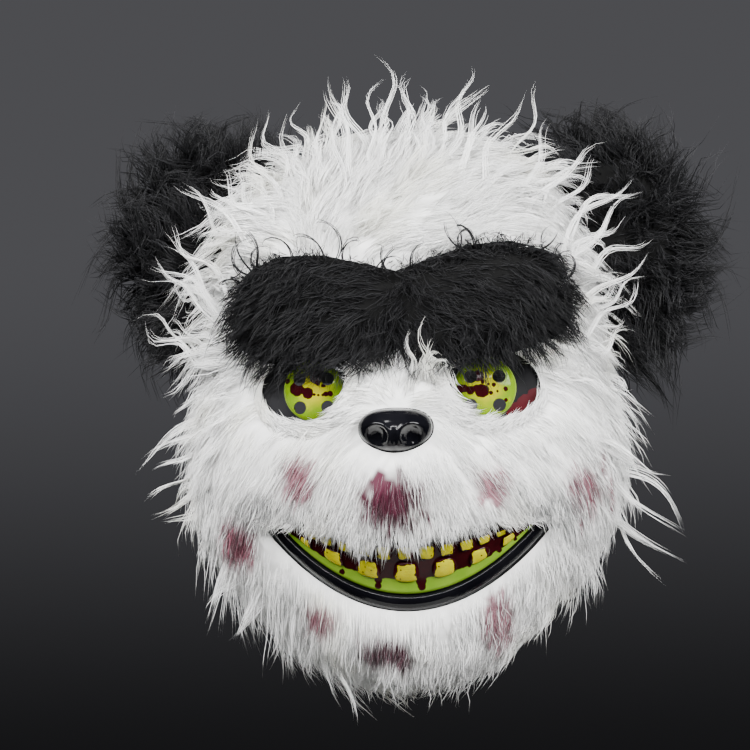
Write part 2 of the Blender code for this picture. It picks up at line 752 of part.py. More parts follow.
def make_brow():
    """The black brow patch: a thicker pile of fur with a fringe over the eyes and tufts along its top."""
    points, faces = face_wall(SEAT_GAP, BROW_PILE_HEIGHT)
    brow = add_mesh("brow_fur", points, faces, "black_fur")
    outline = brow_outline()
    boolean(brow, "INTERSECT", prism("brow_outline", outline))
    for side, name in ((-1, "left"), (1, "right")):
        centre, axis, across, up = eye_frame(side)
        room = EYE_RADIUS + 2 * SEAT_GAP
        front = EYE_DOME + 3 * SEAT_GAP
        profile = [(0.0, front), (room, front), (room, -HEAD_DEPTH), (0.0, -HEAD_DEPTH)]
        boolean(brow, "DIFFERENCE", turned("eye_room_" + name, profile, centre, axis, across, up))
    boolean(brow, "UNION", brow_locks(outline))
    pile_room = seat_body("brow_pile_room", PILE_HEIGHT + CUT_GAP)
    boolean(pile_room, "DIFFERENCE", prism("brow_pile_room_outline", grown(outline, CUT_GAP / 2)))
    boolean(brow, "DIFFERENCE", pile_room)
    shade(brow, 60)


def brow_locks(outline):
    """Locks round the brow patch's edge, pointing outwards, up along its top and down over the eyes."""
    points = np.array(outline)
    along = unit(np.roll(points, -1, axis=0) - np.roll(points, 1, axis=0))
    made = []
    for i in range(0, len(outline), 2):
        x, z = outline[i]
        outward = np.array([along[i, 1], 0.0, -along[i, 0]])
        start = on_face(x - 0.006 * outward[0], z - 0.006 * outward[2], BROW_PILE_HEIGHT - 0.003)
        droop = -0.35 if z > 0.04 else -0.1
        heading = unit(outward + np.array([0.0, -0.55, droop * 0.3]))
        length = 0.017 * (1 + 0.3 * math.sin(2.1 * i))
        bend = np.array([0.12 * math.sin(1.7 * i), 0.0, -0.15])
        made.append(lock(f"brow_lock_{i}", start, heading, FORWARD, length, 0.013, bend))
    return made


def make_ear(side, name, head_room):
    """One fur ear: a plump disc with locks round its edge, cut to sit against the side of the face."""
    centre = np.array([side * EAR_SPREAD, EAR_BACK, EAR_HEIGHT])
    sizes = np.array([EAR_HALF_WIDTH, EAR_HALF_THICKNESS, EAR_HALF_HEIGHT])
    ear = ellipsoid(name, centre, sizes, 14, 7, finish="black_fur")
    made = []
    for number, row in enumerate(EAR_LOCK_ROWS):
        tilt = math.radians(row.tilt_deg)
        for i in range(row.count):
            turn = math.radians(-85 + 185 * (i + 0.5 * (number % 2)) / (row.count - 0.5))
            around = np.array([side * math.cos(turn), 0.0, math.sin(turn)])
            spot = around * math.sin(tilt) + FORWARD * math.cos(tilt)
            normal = unit(spot / sizes)
            root = centre + spot * sizes - LOCK_SINK * normal
            heading = unit(around + 0.4 * normal + 0.15 * math.sin(2.7 * i) * FORWARD)
            length = row.length * (1 + 0.3 * math.sin(1.9 * i + 2 * number + side))
            bend = np.array([0.0, 0.10 * math.cos(2.3 * i), 0.14 * math.sin(1.3 * i + side)])
            made.append(
                lock(f"{name}_lock_{number}_{i}", root, heading, normal, length, row.width, bend)
            )
    boolean(ear, "UNION", made)
    boolean(ear, "DIFFERENCE", head_room)
    shade(ear, 60)


def rim_turn(z):
    """The turn at which the shell's rim has a height, found by halving."""
    low = np.full(np.shape(z), -math.pi / 2)
    high = np.full(np.shape(z), math.pi / 2)
    for _ in range(28):
        middle = (low + high) / 2
        short = FACE_CENTRE[2] + rim_reach(middle) * np.sin(middle) < z
        low = np.where(short, middle, low)
        high = np.where(short, high, middle)
    return low


def strap_rail(z, inwards):
    """One long edge of the strap: along the shell's inside to its rim, then round the back of the head."""
    tilt = np.linspace(math.pi / 2 - STRAP_TUCK, math.pi / 2, 4)
    tucked = face_point(rim_turn(z), tilt, -(SHELL_WALL + STRAP_GAP + inwards))
    angle = np.linspace(0, math.pi / 2, 11)[1:]
    across = tucked[-1, 0] * np.cos(angle)
    back = (STRAP_LOOP_DEPTH - inwards) * np.sin(angle)
    loop = np.stack([across, back, np.full(len(angle), tucked[-1, 2])], axis=-1)
    half = np.vstack([tucked, loop])
    return np.vstack([half, half[-2::-1] * (-1, 1, 1)])


def make_strap():
    """The elastic strap: tucked inside the shell's rim at each side and round the back of the head."""
    low = STRAP_HEIGHT - STRAP_WIDTH / 2
    high = STRAP_HEIGHT + STRAP_WIDTH / 2
    corners = ((low, 0.0), (high, 0.0), (high, STRAP_THICKNESS), (low, STRAP_THICKNESS))
    rails = [strap_rail(z, inwards) for z, inwards in corners]
    count = len(rails[0])
    faces = [(0, count, 2 * count, 3 * count)]
    faces.append((4 * count - 1, 3 * count - 1, 2 * count - 1, count - 1))
    for k in range(4):
        near, far = k * count, (k + 1) % 4 * count
        faces += [(near + i, near + i + 1, far + i + 1, far + i) for i in range(count - 1)]
    add_mesh("head_strap", np.concatenate(rails), faces, "elastic")


def main():
    """Builds every piece of the mask."""
    clear_scene()
    shell_seat = seat_body("shell_seat", SEAT_GAP)
    head_room = seat_body("head_room", PILE_HEIGHT + SEAT_GAP, TILT_STEPS + HEAD_STEPS)
    make_shell()
    make_eye(-1, "eye_left")
    make_eye(1, "eye_right")
    make_nose(shell_seat)
    make_lip(shell_seat)
    make_gum()
    make_teeth()
    make_face_fur()
    make_brow()
    make_ear(-1, "ear_left", head_room)
    make_ear(1, "ear_right", head_room)
    make_strap()


main()
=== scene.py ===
"""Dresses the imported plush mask: white and black fur grown strand by strand over its face, brow patch
and ears, glossy moulded eyes, nose and mouth, an elastic strap, and a small studio to see it in.

Units are metres, +Z is up and the face looks along -Y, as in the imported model. Places on the face are
named by a turn, the angle round the face as seen from the front, and a tilt, the angle from -Y, both
about one centre inside the head.
"""

import logging
import math
from dataclasses import dataclass, field
from enum import Enum

import bpy
import numpy as np
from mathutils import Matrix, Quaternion, Vector


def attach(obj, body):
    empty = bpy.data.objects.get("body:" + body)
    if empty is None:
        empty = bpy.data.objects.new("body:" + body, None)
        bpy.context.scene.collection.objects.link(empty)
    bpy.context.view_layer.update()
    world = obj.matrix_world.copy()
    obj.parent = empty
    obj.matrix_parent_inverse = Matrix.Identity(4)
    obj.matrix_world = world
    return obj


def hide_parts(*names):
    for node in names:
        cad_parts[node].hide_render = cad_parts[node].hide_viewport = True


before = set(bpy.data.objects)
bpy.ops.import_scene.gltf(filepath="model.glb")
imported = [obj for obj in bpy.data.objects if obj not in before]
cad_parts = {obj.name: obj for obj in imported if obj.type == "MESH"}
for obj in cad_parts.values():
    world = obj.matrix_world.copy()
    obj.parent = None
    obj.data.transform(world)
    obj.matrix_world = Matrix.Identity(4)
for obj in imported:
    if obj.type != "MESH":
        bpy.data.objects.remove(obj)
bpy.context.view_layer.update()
LOG = logging.getLogger("plush_mask")
Array = np.ndarray
Random = np.random.Generator
Colour = tuple[float, float, float]
Piece = bpy.types.Object
Material = bpy.types.Material
Node = bpy.types.Node
Socket = bpy.types.NodeSocket

FORWARD = np.array([0.0, -1.0, 0.0])
UP = np.array([0.0, 0.0, 1.0])

# How often a range is halved to find a place in it.
HALVINGS = 28

# Cutters through the face run from one of these places along Y to the other.
CUT_FRONT = -0.16
CUT_BACK = 0.02


class Side(Enum):
    """A side of the face as seen from in front of it."""

    LEFT = -1
    RIGHT = 1


class Row(Enum):
    """A row of teeth."""

    LOWER = "lower"
    UPPER = "upper"


def unit(vectors: Array) -> Array:
    """Vectors scaled to length one."""
    vectors = np.asarray(vectors, float)
    return vectors / np.maximum(np.linalg.norm(vectors, axis=-1, keepdims=True), 1e-9)


def smooth(value: Array, low: float, high: float) -> Array:
    """A soft step: 0 up to low, 1 from high, and a cubic ease between."""
    share = np.clip((value - low) / (high - low), 0, 1)
    return share * share * (3 - 2 * share)


def ripple(points: Array, scale: float, seed: int, waves: int = 7) -> Array:
    """Smooth noise between about -1 and 1: a sum of sine waves in random directions.

    Args:
        points: places, the last axis x, y, z.
        scale: the size of its patches, in metres.
        seed: which noise.
        waves: how many sine waves are summed.

    Returns:
        One value for each point.
    """
    rng = np.random.default_rng(seed)
    direction = unit(rng.normal(size=(waves, 3))) * rng.uniform(0.6, 1.6, (waves, 1))
    phase = rng.uniform(0, 2 * math.pi, waves)
    angle = points @ direction.T * (2 * math.pi / scale) + phase
    return np.sin(angle).sum(-1) / math.sqrt(waves)


def even_angles(count: int) -> Array:
    """Angles spread evenly once round, from 0."""
    return np.arange(count) * 2 * math.pi / count


def laid_flat(vectors: Array, normals: Array) -> Array:
    """Unit vectors with what points along the unit normals taken away."""
    return unit(vectors - normals * (vectors * normals).sum(-1, keepdims=True))


def turned_about(vectors: Array, axes: Array, angle: Array) -> Array:
    """Vectors turned about unit axes at right angles to them, by Rodrigues' formula."""
    angle = np.asarray(angle)[..., None]
    return vectors * np.cos(angle) + np.cross(axes, vectors) * np.sin(angle)


def squarish(angle: Array, roundness: Array | float) -> Array:
    """Places round a unit circle, pushed towards its corners where roundness is below 1."""
    around = np.stack([np.cos(angle), np.sin(angle)], axis=-1)
    return np.sign(around) * np.abs(around) ** roundness


@dataclass
class Bump:
    """A raised place of the shell, in shares of the face's half width and forehead reach."""

    across: float
    up: float
    half_width: float
    half_height: float
    rise: float


@dataclass
class FaceForm:
    """The mask's face as distances from one centre, with the same sizes as the CAD source."""

    centre_drop: float = 0.025
    half_width: float = 0.091
    forehead_reach: float = 0.149
    chin_reach: float = 0.117
    depth: float = 0.07
    head_depth: float = 0.105
    cheek_fullness: float = 0.013
    cheek_angle: float = math.radians(-8)
    cheek_spread: float = math.radians(26)
    forehead_squareness: float = 3.0
    chin_squareness: float = 2.0
    profile_squareness: float = 2.3
    muzzle_rise: float = 0.022
    socket_sink: float = 0.009
    relief_fade: float = 0.35
    wall: float = 0.0015
    seat_gap: float = 0.0004
    cut_gap: float = 0.0005
    eye_spread: float = 0.042
    eye_height: float = 0.001
    opening_shift: float = 0.0045
    opening_half_width: float = 0.0225
    opening_half_height: float = 0.0185
    bumps: tuple[Bump, ...] = (
        Bump(0.0, -0.29, 0.54, 0.27, 1.0),
        Bump(0.0, -0.12, 0.24, 0.11, 0.3),
        Bump(0.62, 0.36, 0.5, 0.16, 0.26),
        Bump(-0.62, 0.36, 0.5, 0.16, 0.26),
        Bump(0.0, -0.8, 0.5, 0.16, 0.32),
    )

    @property
    def centre(self) -> Array:
        """The point that every distance is measured from."""
        return np.array([0.0, 0.0, -self.centre_drop])

    @property
    def opening_spread(self) -> float:
        """How far an eye opening's middle is from the face's."""
        return self.eye_spread + self.opening_shift

    def opening_place(self, x: Array, z: Array, side: Side) -> tuple[Array, Array]:
        """Places seen from the front, about an eye opening's middle and as shares of its half sizes."""
        across = (x - side.value * self.opening_spread) / self.opening_half_width
        return across, (z - self.eye_height) / self.opening_half_height

    def rays(self, turn: Array, tilt: Array) -> Array:
        """Unit vectors from the centre."""
        turn, tilt = np.broadcast_arrays(turn, tilt)
        return np.stack(
            [np.sin(tilt) * np.cos(turn), -np.cos(tilt), np.sin(tilt) * np.sin(turn)], axis=-1
        )

    def rim_reach(self, turn: Array) -> Array:
        """Distance to the rim: a superellipse, squarer above than below, with a bulge at the cheeks."""
        up = np.sin(turn) >= 0
        power = np.where(up, self.forehead_squareness, self.chin_squareness)
        height = np.where(up, self.forehead_reach, self.chin_reach)
        across = np.abs(np.cos(turn)) / self.half_width
        along = np.abs(np.sin(turn)) / height
        climb = np.arcsin(np.clip(np.sin(turn), -1, 1))
        cheek = self.cheek_fullness * np.exp(-(((climb - self.cheek_angle) / self.cheek_spread) ** 2))
        return (across**power + along**power) ** (-1 / power) + cheek

    def dome_reach(self, turn: Array, tilt: Array) -> Array:
        """Distance to the plain dome, and past the rim to the room for the wearer's head."""
        depth = np.where(np.cos(tilt) > 0, self.depth, self.head_depth)
        across = np.sin(tilt) / self.rim_reach(turn)
        along = np.abs(np.cos(tilt)) / depth
        power = self.profile_squareness
        return (across**power + along**power) ** (-1 / power)

    def relief(self, x: Array, z: Array) -> Array:
        """The sum of the raised places' bell curves, less the eye sockets."""
        height = np.zeros(np.broadcast(x, z).shape)
        for bump in self.bumps:
            across = (x - bump.across * self.half_width) / (bump.half_width * self.half_width)
            up = (z - bump.up * self.forehead_reach) / (bump.half_height * self.forehead_reach)
            height = height + self.muzzle_rise * bump.rise * np.exp(-(across**2 + up**2))
        for side in Side:
            across, up = self.opening_place(x, z, side)
            height = height - self.socket_sink * np.exp(-((across**2 + up**2) ** 2))
        return height

    def point(self, turn: Array, tilt: Array, lift: Array | float = 0.0) -> Array:
        """Points on the surface, lifted off it along their rays: the dome's reach, and the relief
        fading out towards the rim."""
        turn, tilt = np.broadcast_arrays(turn, tilt)
        reach = self.dome_reach(turn, tilt)
        seen = reach * np.sin(tilt)
        fade = np.clip(np.cos(tilt) / self.relief_fade, 0, 1)
        rise = self.relief(seen * np.cos(turn), seen * np.sin(turn) + self.centre[2]) * fade
        return self.centre + self.rays(turn, tilt) * (reach + rise + lift)[..., None]

    def angles(self, points: Array) -> tuple[Array, Array]:
        """The turn and tilt of points."""
        offset = points - self.centre
        distance = np.linalg.norm(offset, axis=-1)
        tilt = np.arccos(np.clip(-offset[..., 1] / np.maximum(distance, 1e-9), -1, 1))
        return np.arctan2(offset[..., 2], offset[..., 0]), tilt

    def lift_of(self, points: Array) -> Array:
        """How far points are lifted off the surface."""
        turn, tilt = self.angles(points)
        return np.linalg.norm(points - self.centre, axis=-1) - np.linalg.norm(
            self.point(turn, tilt) - self.centre, axis=-1
        )

    def on_face(self, x: Array, z: Array, lift: Array | float = 0.0) -> Array:
        """Points on the lifted surface by their place seen from the front. The tilt that gives it is
        found by halving.

        Args:
            x: places across the face.
            z: their heights.
            lift: how far they are lifted off the surface.

        Returns:
            The points.
        """
        x, z, lift = np.broadcast_arrays(np.asarray(x, float), z, lift)
        turn = np.arctan2(z - self.centre[2], x)
        goal = np.hypot(x, z - self.centre[2])
        low, high = np.zeros(goal.shape), np.full(goal.shape, math.pi / 2)
        for _ in range(HALVINGS):
            middle = (low + high) / 2
            found = self.point(turn, middle, lift) - self.centre
            short = np.hypot(found[..., 0], found[..., 2]) < goal
            low, high = np.where(short, middle, low), np.where(short, high, middle)
        return self.point(turn, low, lift)

    def scattered(self, count: int, last_tilt: float, rng: Random) -> tuple[Array, Array]:
        """Turns and tilts spread evenly by area: random ones, kept in proportion to the area they stand
        for.

        Args:
            count: how many are wanted.
            last_tilt: how far from the middle they go.
            rng: the random numbers.

        Returns:
            The turns and the tilts.
        """
        turn = rng.uniform(0, 2 * math.pi, count * 8)
        tilt = rng.uniform(0.02, last_tilt, count * 8)
        step = 0.01
        along_turn = self.point(turn + step, tilt) - self.point(turn - step, tilt)
        along_tilt = self.point(turn, tilt + step) - self.point(turn, tilt - step)
        area = np.linalg.norm(np.cross(along_turn, along_tilt), axis=-1)
        kept = rng.uniform(0, np.quantile(area, 0.98), len(area)) < area
        return turn[kept][:count], tilt[kept][:count]


FACE = FaceForm()


@dataclass
class Crescent:
    """The mouth's outline seen from the front: a wide grin, its lower and upper arcs parabolas."""

    shift: float = 0.003
    corner_height: float = -0.53 * FACE.chin_reach
    half_width: float = 0.0735
    lower_drop: float = 0.039
    upper_drop: float = 0.014
    corner: float = 0.007

    def curve(self, angle: Array, inset: Array | float = 0.0) -> tuple[Array, Array]:
        """Places round the crescent, moved inwards by the inset: the lower arc where the sine is below
        zero."""
        sine = np.sin(angle)
        drop = np.where(sine < 0, self.lower_drop - 0.45 * inset, self.upper_drop + 0.2 * inset)
        x = self.shift + (self.half_width - inset) * np.cos(angle)
        z = self.corner_height - drop * sine**2 + (self.corner - 0.6 * inset) * sine
        return x, z

    def height(self, x: Array, inset: float, row: Row) -> Array:
        """Heights of the inset crescent's lower or upper arc at places across it."""
        angle = np.arccos(np.clip((x - self.shift) / (self.half_width - inset), -1, 1))
        return self.curve(-angle if row is Row.LOWER else angle, inset)[1]


@dataclass
class BrowOutline:
    """The brow patch's outline seen from the front: half of it in shares of its half width and top,
    mirrored and turned a little."""

    half_width: float = 0.086
    top: float = 0.071
    tilt: float = math.radians(3)
    half: tuple[tuple[float, float], ...] = (
        (0.0, 0.83),
        (0.2, 0.9),
        (0.42, 0.98),
        (0.66, 1.0),
        (0.86, 0.94),
        (0.97, 0.8),
        (1.0, 0.6),
        (0.97, 0.41),
        (0.87, 0.31),
        (0.7, 0.24),
        (0.48, 0.19),
        (0.26, 0.19),
        (0.1, 0.23),
        (0.0, 0.28),
    )

    def corners(self) -> Array:
        """The whole outline, anticlockwise."""
        half = np.array(self.half) * (self.half_width, self.top)
        whole = np.vstack([half[::-1], half[1:-1] * (-1, 1)])
        middle = self.top * 0.6
        cos, sin = math.cos(self.tilt), math.sin(self.tilt)
        x, z = whole[:, 0], whole[:, 1] - middle
        return np.stack([x * cos - z * sin, middle + x * sin + z * cos], axis=-1)

    def rounded(self) -> Array:
        """The outline with its corners cut off twice, each cut at a quarter of an edge."""
        outline = self.corners()
        for _ in range(2):
            after = np.roll(outline, -1, axis=0)
            near, far = 0.75 * outline + 0.25 * after, 0.25 * outline + 0.75 * after
            outline = np.stack([near, far], axis=1).reshape(-1, 2)
        return outline

    def outside_by(self, x: Array, z: Array) -> Array:
        """How far places are outside the outline, and below zero inside it: the distance to its nearest
        edge, signed by the even-odd rule."""
        start = self.corners()
        edge = np.roll(start, -1, axis=0) - start
        offset = np.stack([x, z], axis=-1)[..., None, :] - start
        share = np.clip((offset * edge).sum(-1) / (edge**2).sum(-1), 0, 1)
        distance = np.linalg.norm(offset - share[..., None] * edge, axis=-1).min(-1)
        above = start[:, 1] > z[..., None]
        crossing = above != np.roll(above, -1, axis=-1)
        slope = edge[:, 0] / np.where(np.abs(edge[:, 1]) < 1e-9, 1e-9, edge[:, 1])
        hits = crossing & (x[..., None] < start[:, 0] + offset[..., 1] * slope)
        return np.where(hits.sum(-1) % 2 == 1, -distance, distance)


MOUTH = Crescent()
BROW = BrowOutline()


BLOOD = (0.058, 0.01, 0.022)
PALE_BLOOD = (0.19, 0.045, 0.072)
# Grey for the patches of painted shade at both corners of the mouth.
PAINTED_SHADE_GREY = (0.24, 0.24, 0.24)


@dataclass(frozen=True)
class StainAndShadePatch:
    """A soft oval mark on the white fur, seen from the front: a stain, and for the two grey ones at the
    mouth's corners painted shade. A streaky one colours some strands fully and leaves others white."""

    x: float
    z: float
    half_width: float
    half_height: float
    strength: float
    streaks: float = 0.9
    colour: Colour = PALE_BLOOD


STAIN_AND_SHADE_PATCHES = (
    StainAndShadePatch(-0.049, -0.044, 0.0085, 0.011, 0.72),
    StainAndShadePatch(-0.002, -0.055, 0.0165, 0.0145, 1.15, 0.25, BLOOD),
    StainAndShadePatch(0.0465, -0.048, 0.0085, 0.009, 0.62),
    StainAndShadePatch(-0.083, -0.075, 0.0095, 0.0125, 0.98, 0.6),
    StainAndShadePatch(0.09, -0.0515, 0.0085, 0.012, 0.7),
    StainAndShadePatch(0.1, -0.0375, 0.0009, 0.008, 1.2, 0.1),
    StainAndShadePatch(0.104, -0.054, 0.0008, 0.0115, 1.2, 0.1),
    StainAndShadePatch(0.0885, -0.064, 0.0008, 0.008, 1.2, 0.1),
    StainAndShadePatch(-0.0415, -0.114, 0.0085, 0.007, 0.74),
    StainAndShadePatch(-0.0105, -0.13, 0.0125, 0.0075, 0.9, 0.6, BLOOD),
    StainAndShadePatch(-0.001, -0.1325, 0.0055, 0.0065, 0.95, 0.5, BLOOD),
    StainAndShadePatch(0.0465, -0.115, 0.0075, 0.015, 0.64),
    # Painted shade: the grey patches at the mouth's left and right corners.
    StainAndShadePatch(-0.0735, -0.061, 0.011, 0.009, 0.5, 0.5, PAINTED_SHADE_GREY),
    StainAndShadePatch(0.081, -0.059, 0.011, 0.011, 0.45, 0.5, PAINTED_SHADE_GREY),
)


def stained_and_shaded(base: Array, points: Array, grain: Array) -> Array:
    """Colours with the stains and the grey patches of painted shade at the mouth's corners mixed in: each a
    soft oval with a ragged edge.

    Args:
        base: colours of the clean fur.
        points: their places in metres.
        grain: each place's own random number from 0 to 1, which breaks a patch into streaks.

    Returns:
        The stained colours.
    """
    colour = np.array(base)
    front = smooth(-points[..., 1], 0.012, 0.032)
    ragged = 0.22 * ripple(points, 0.009, 5)
    for patch in STAIN_AND_SHADE_PATCHES:
        across = (points[..., 0] - patch.x) / patch.half_width
        up = (points[..., 2] - patch.z) / patch.half_height
        inside = 1 - smooth(np.hypot(across, up) + ragged + 0.5 * (grain - 0.5), 0.75, 1.15)
        taken = smooth(patch.strength + patch.streaks * (0.5 - grain), 0.35, 0.65)
        plain = 0.3 * patch.streaks
        share = (inside * (taken * (1 - plain) + plain * patch.strength) * front)[..., None]
        tone = np.array(patch.colour) * (0.75 + 0.9 * ((grain * 7.3) % 1))[..., None]
        colour = colour * (1 - share) + tone * share
    return colour


# Meshes


def mesh_object(name: str, points: Array, faces: list | Array) -> Piece:
    """A smooth mesh object at the origin from points and faces."""
    mesh = bpy.data.meshes.new(name)
    mesh.from_pydata(np.asarray(points).tolist(), [], faces if isinstance(faces, list) else faces.tolist())
    mesh.update()
    mesh.shade_smooth()
    made = bpy.data.objects.new(name, mesh)
    bpy.context.scene.collection.objects.link(made)
    return made


def grid_faces(rows: int, columns: int, start: int = 0, wrap: bool = True) -> Array:
    """Quads over a grid of points stored row by row, its columns closed into a ring if wrapped."""
    row, column = np.meshgrid(np.arange(rows - 1), np.arange(columns if wrap else columns - 1), indexing="ij")
    after = (column + 1) % columns
    here, beyond = row * columns, (row + 1) * columns
    quads = [here + column, here + after, beyond + after, beyond + column]
    return start + np.stack([q.ravel() for q in quads], axis=-1)


def capped_grid(grid: Array, first_pole: Array, last_pole: Array) -> tuple[Array, list]:
    """A closed surface: rings of points, rows by columns, with a pole at each end.

    Args:
        grid: rows x columns x 3 points.
        first_pole: the point before the first row.
        last_pole: the point after the last row.

    Returns:
        Points and faces.
    """
    rows, columns = grid.shape[:2]
    points = np.vstack([first_pole[None], grid.reshape(-1, 3), last_pole[None]])
    ring = np.arange(columns)
    after = (ring + 1) % columns
    last = len(points) - 1
    faces = [(0, 1 + b, 1 + a) for a, b in zip(ring.tolist(), after.tolist())]
    faces += grid_faces(rows, columns, 1).tolist()
    base = 1 + (rows - 1) * columns
    faces += [(last, base + a, base + b) for a, b in zip(ring.tolist(), after.tolist())]
    return points, faces


def outward(obj: Piece) -> Piece:
    """Turns a closed mesh's faces outwards if its volume says that they point in."""
    mesh = obj.data
    mesh.calc_loop_triangles()
    points = np.empty(len(mesh.vertices) * 3)
    mesh.vertices.foreach_get("co", points)
    triangles = np.empty(len(mesh.loop_triangles) * 3, int)
    mesh.loop_triangles.foreach_get("vertices", triangles)
    a, b, c = points.reshape(-1, 3)[triangles.reshape(-1, 3)].transpose(1, 0, 2)
    if np.einsum("ij,ij->i", a, np.cross(b, c)).sum() < 0:
        mesh.flip_normals()
    return obj


def face_wall(
    name: str, low: float, high: Array | float, turns: int, tilts: int, last_tilt: float = math.pi / 2
) -> Piece:
    """A closed wall that follows the face between two lifts, open at the back.

    Args:
        name: the object's name.
        low: the inner surface's lift.
        high: the outer surface's lift, or one for each ring and turn.
        turns: facets round it.
        tilts: rings from its middle to its rim.
        last_tilt: the rim's tilt.

    Returns:
        The wall.
    """
    turn = even_angles(turns)
    tilt = np.linspace(0, last_tilt, tilts + 1)[1:, None]
    outer = FACE.point(turn, tilt, high)
    inner = FACE.point(turn, tilt, low)
    grid = np.concatenate([outer, inner[::-1]])
    top = high if np.isscalar(high) else float(np.mean(np.asarray(high)[0]))
    poles = FACE.point(np.zeros(2), np.zeros(2), np.array([top, low]))
    return outward(mesh_object(name, *capped_grid(grid, poles[0], poles[1])))


def prism(outline: Array, near: float = CUT_FRONT, far: float = CUT_BACK) -> Piece:
    """A cutter along Y from an outline of places seen from the front."""
    rings = [np.stack([outline[:, 0], np.full(len(outline), y), outline[:, 1]], axis=-1) for y in (near, far)]
    count = len(outline)
    faces = grid_faces(2, count).tolist() + [tuple(range(count)), tuple(range(count, 2 * count))[::-1]]
    return outward(mesh_object("cutter", np.vstack(rings), faces))


def carve(target: Piece, operation: str, cutters: list[Piece]) -> None:
    """Applies one exact Boolean for each cutter, and removes the cutters."""
    for cutter in cutters:
        modifier = target.modifiers.new("carve", "BOOLEAN")
        modifier.operation = operation
        modifier.solver = "EXACT"
        modifier.object = cutter
        graph = bpy.context.evaluated_depsgraph_get()
        carved = bpy.data.meshes.new_from_object(target.evaluated_get(graph))
        target.modifiers.remove(modifier)
        target.data = carved
        bpy.data.objects.remove(cutter)
    target.data.shade_smooth()
    target.data.set_sharp_from_angle(angle=math.radians(50))


def dress(obj: Piece, finish: Material) -> None:
    """Gives an object one material and no other."""
    obj.data.materials.clear()
    obj.data.materials.append(finish)


def vertices_of(obj: Piece) -> Array:
    """An object's points as an array."""
    points = np.empty(len(obj.data.vertices) * 3)
    obj.data.vertices.foreach_get("co", points)
    return points.reshape(-1, 3)


def paint(obj: Piece, name: str, values: Array | float) -> None:
    """Stores a colour or a grey for each point of an object as a colour attribute."""
    layer = obj.data.color_attributes.new(name, "FLOAT_COLOR", "POINT")
    full = np.ones((len(obj.data.vertices), 4), np.float32)
    full[:, :3] = values
    layer.data.foreach_set("color", full.ravel())


def oval(x: float, z: float, half_width: float, half_height: float, sides: int = 64) -> Array:
    """An ellipse's outline seen from the front."""
    angle = even_angles(sides)
    return np.stack([x + half_width * np.cos(angle), z + half_height * np.sin(angle)], axis=-1)


# Finishes


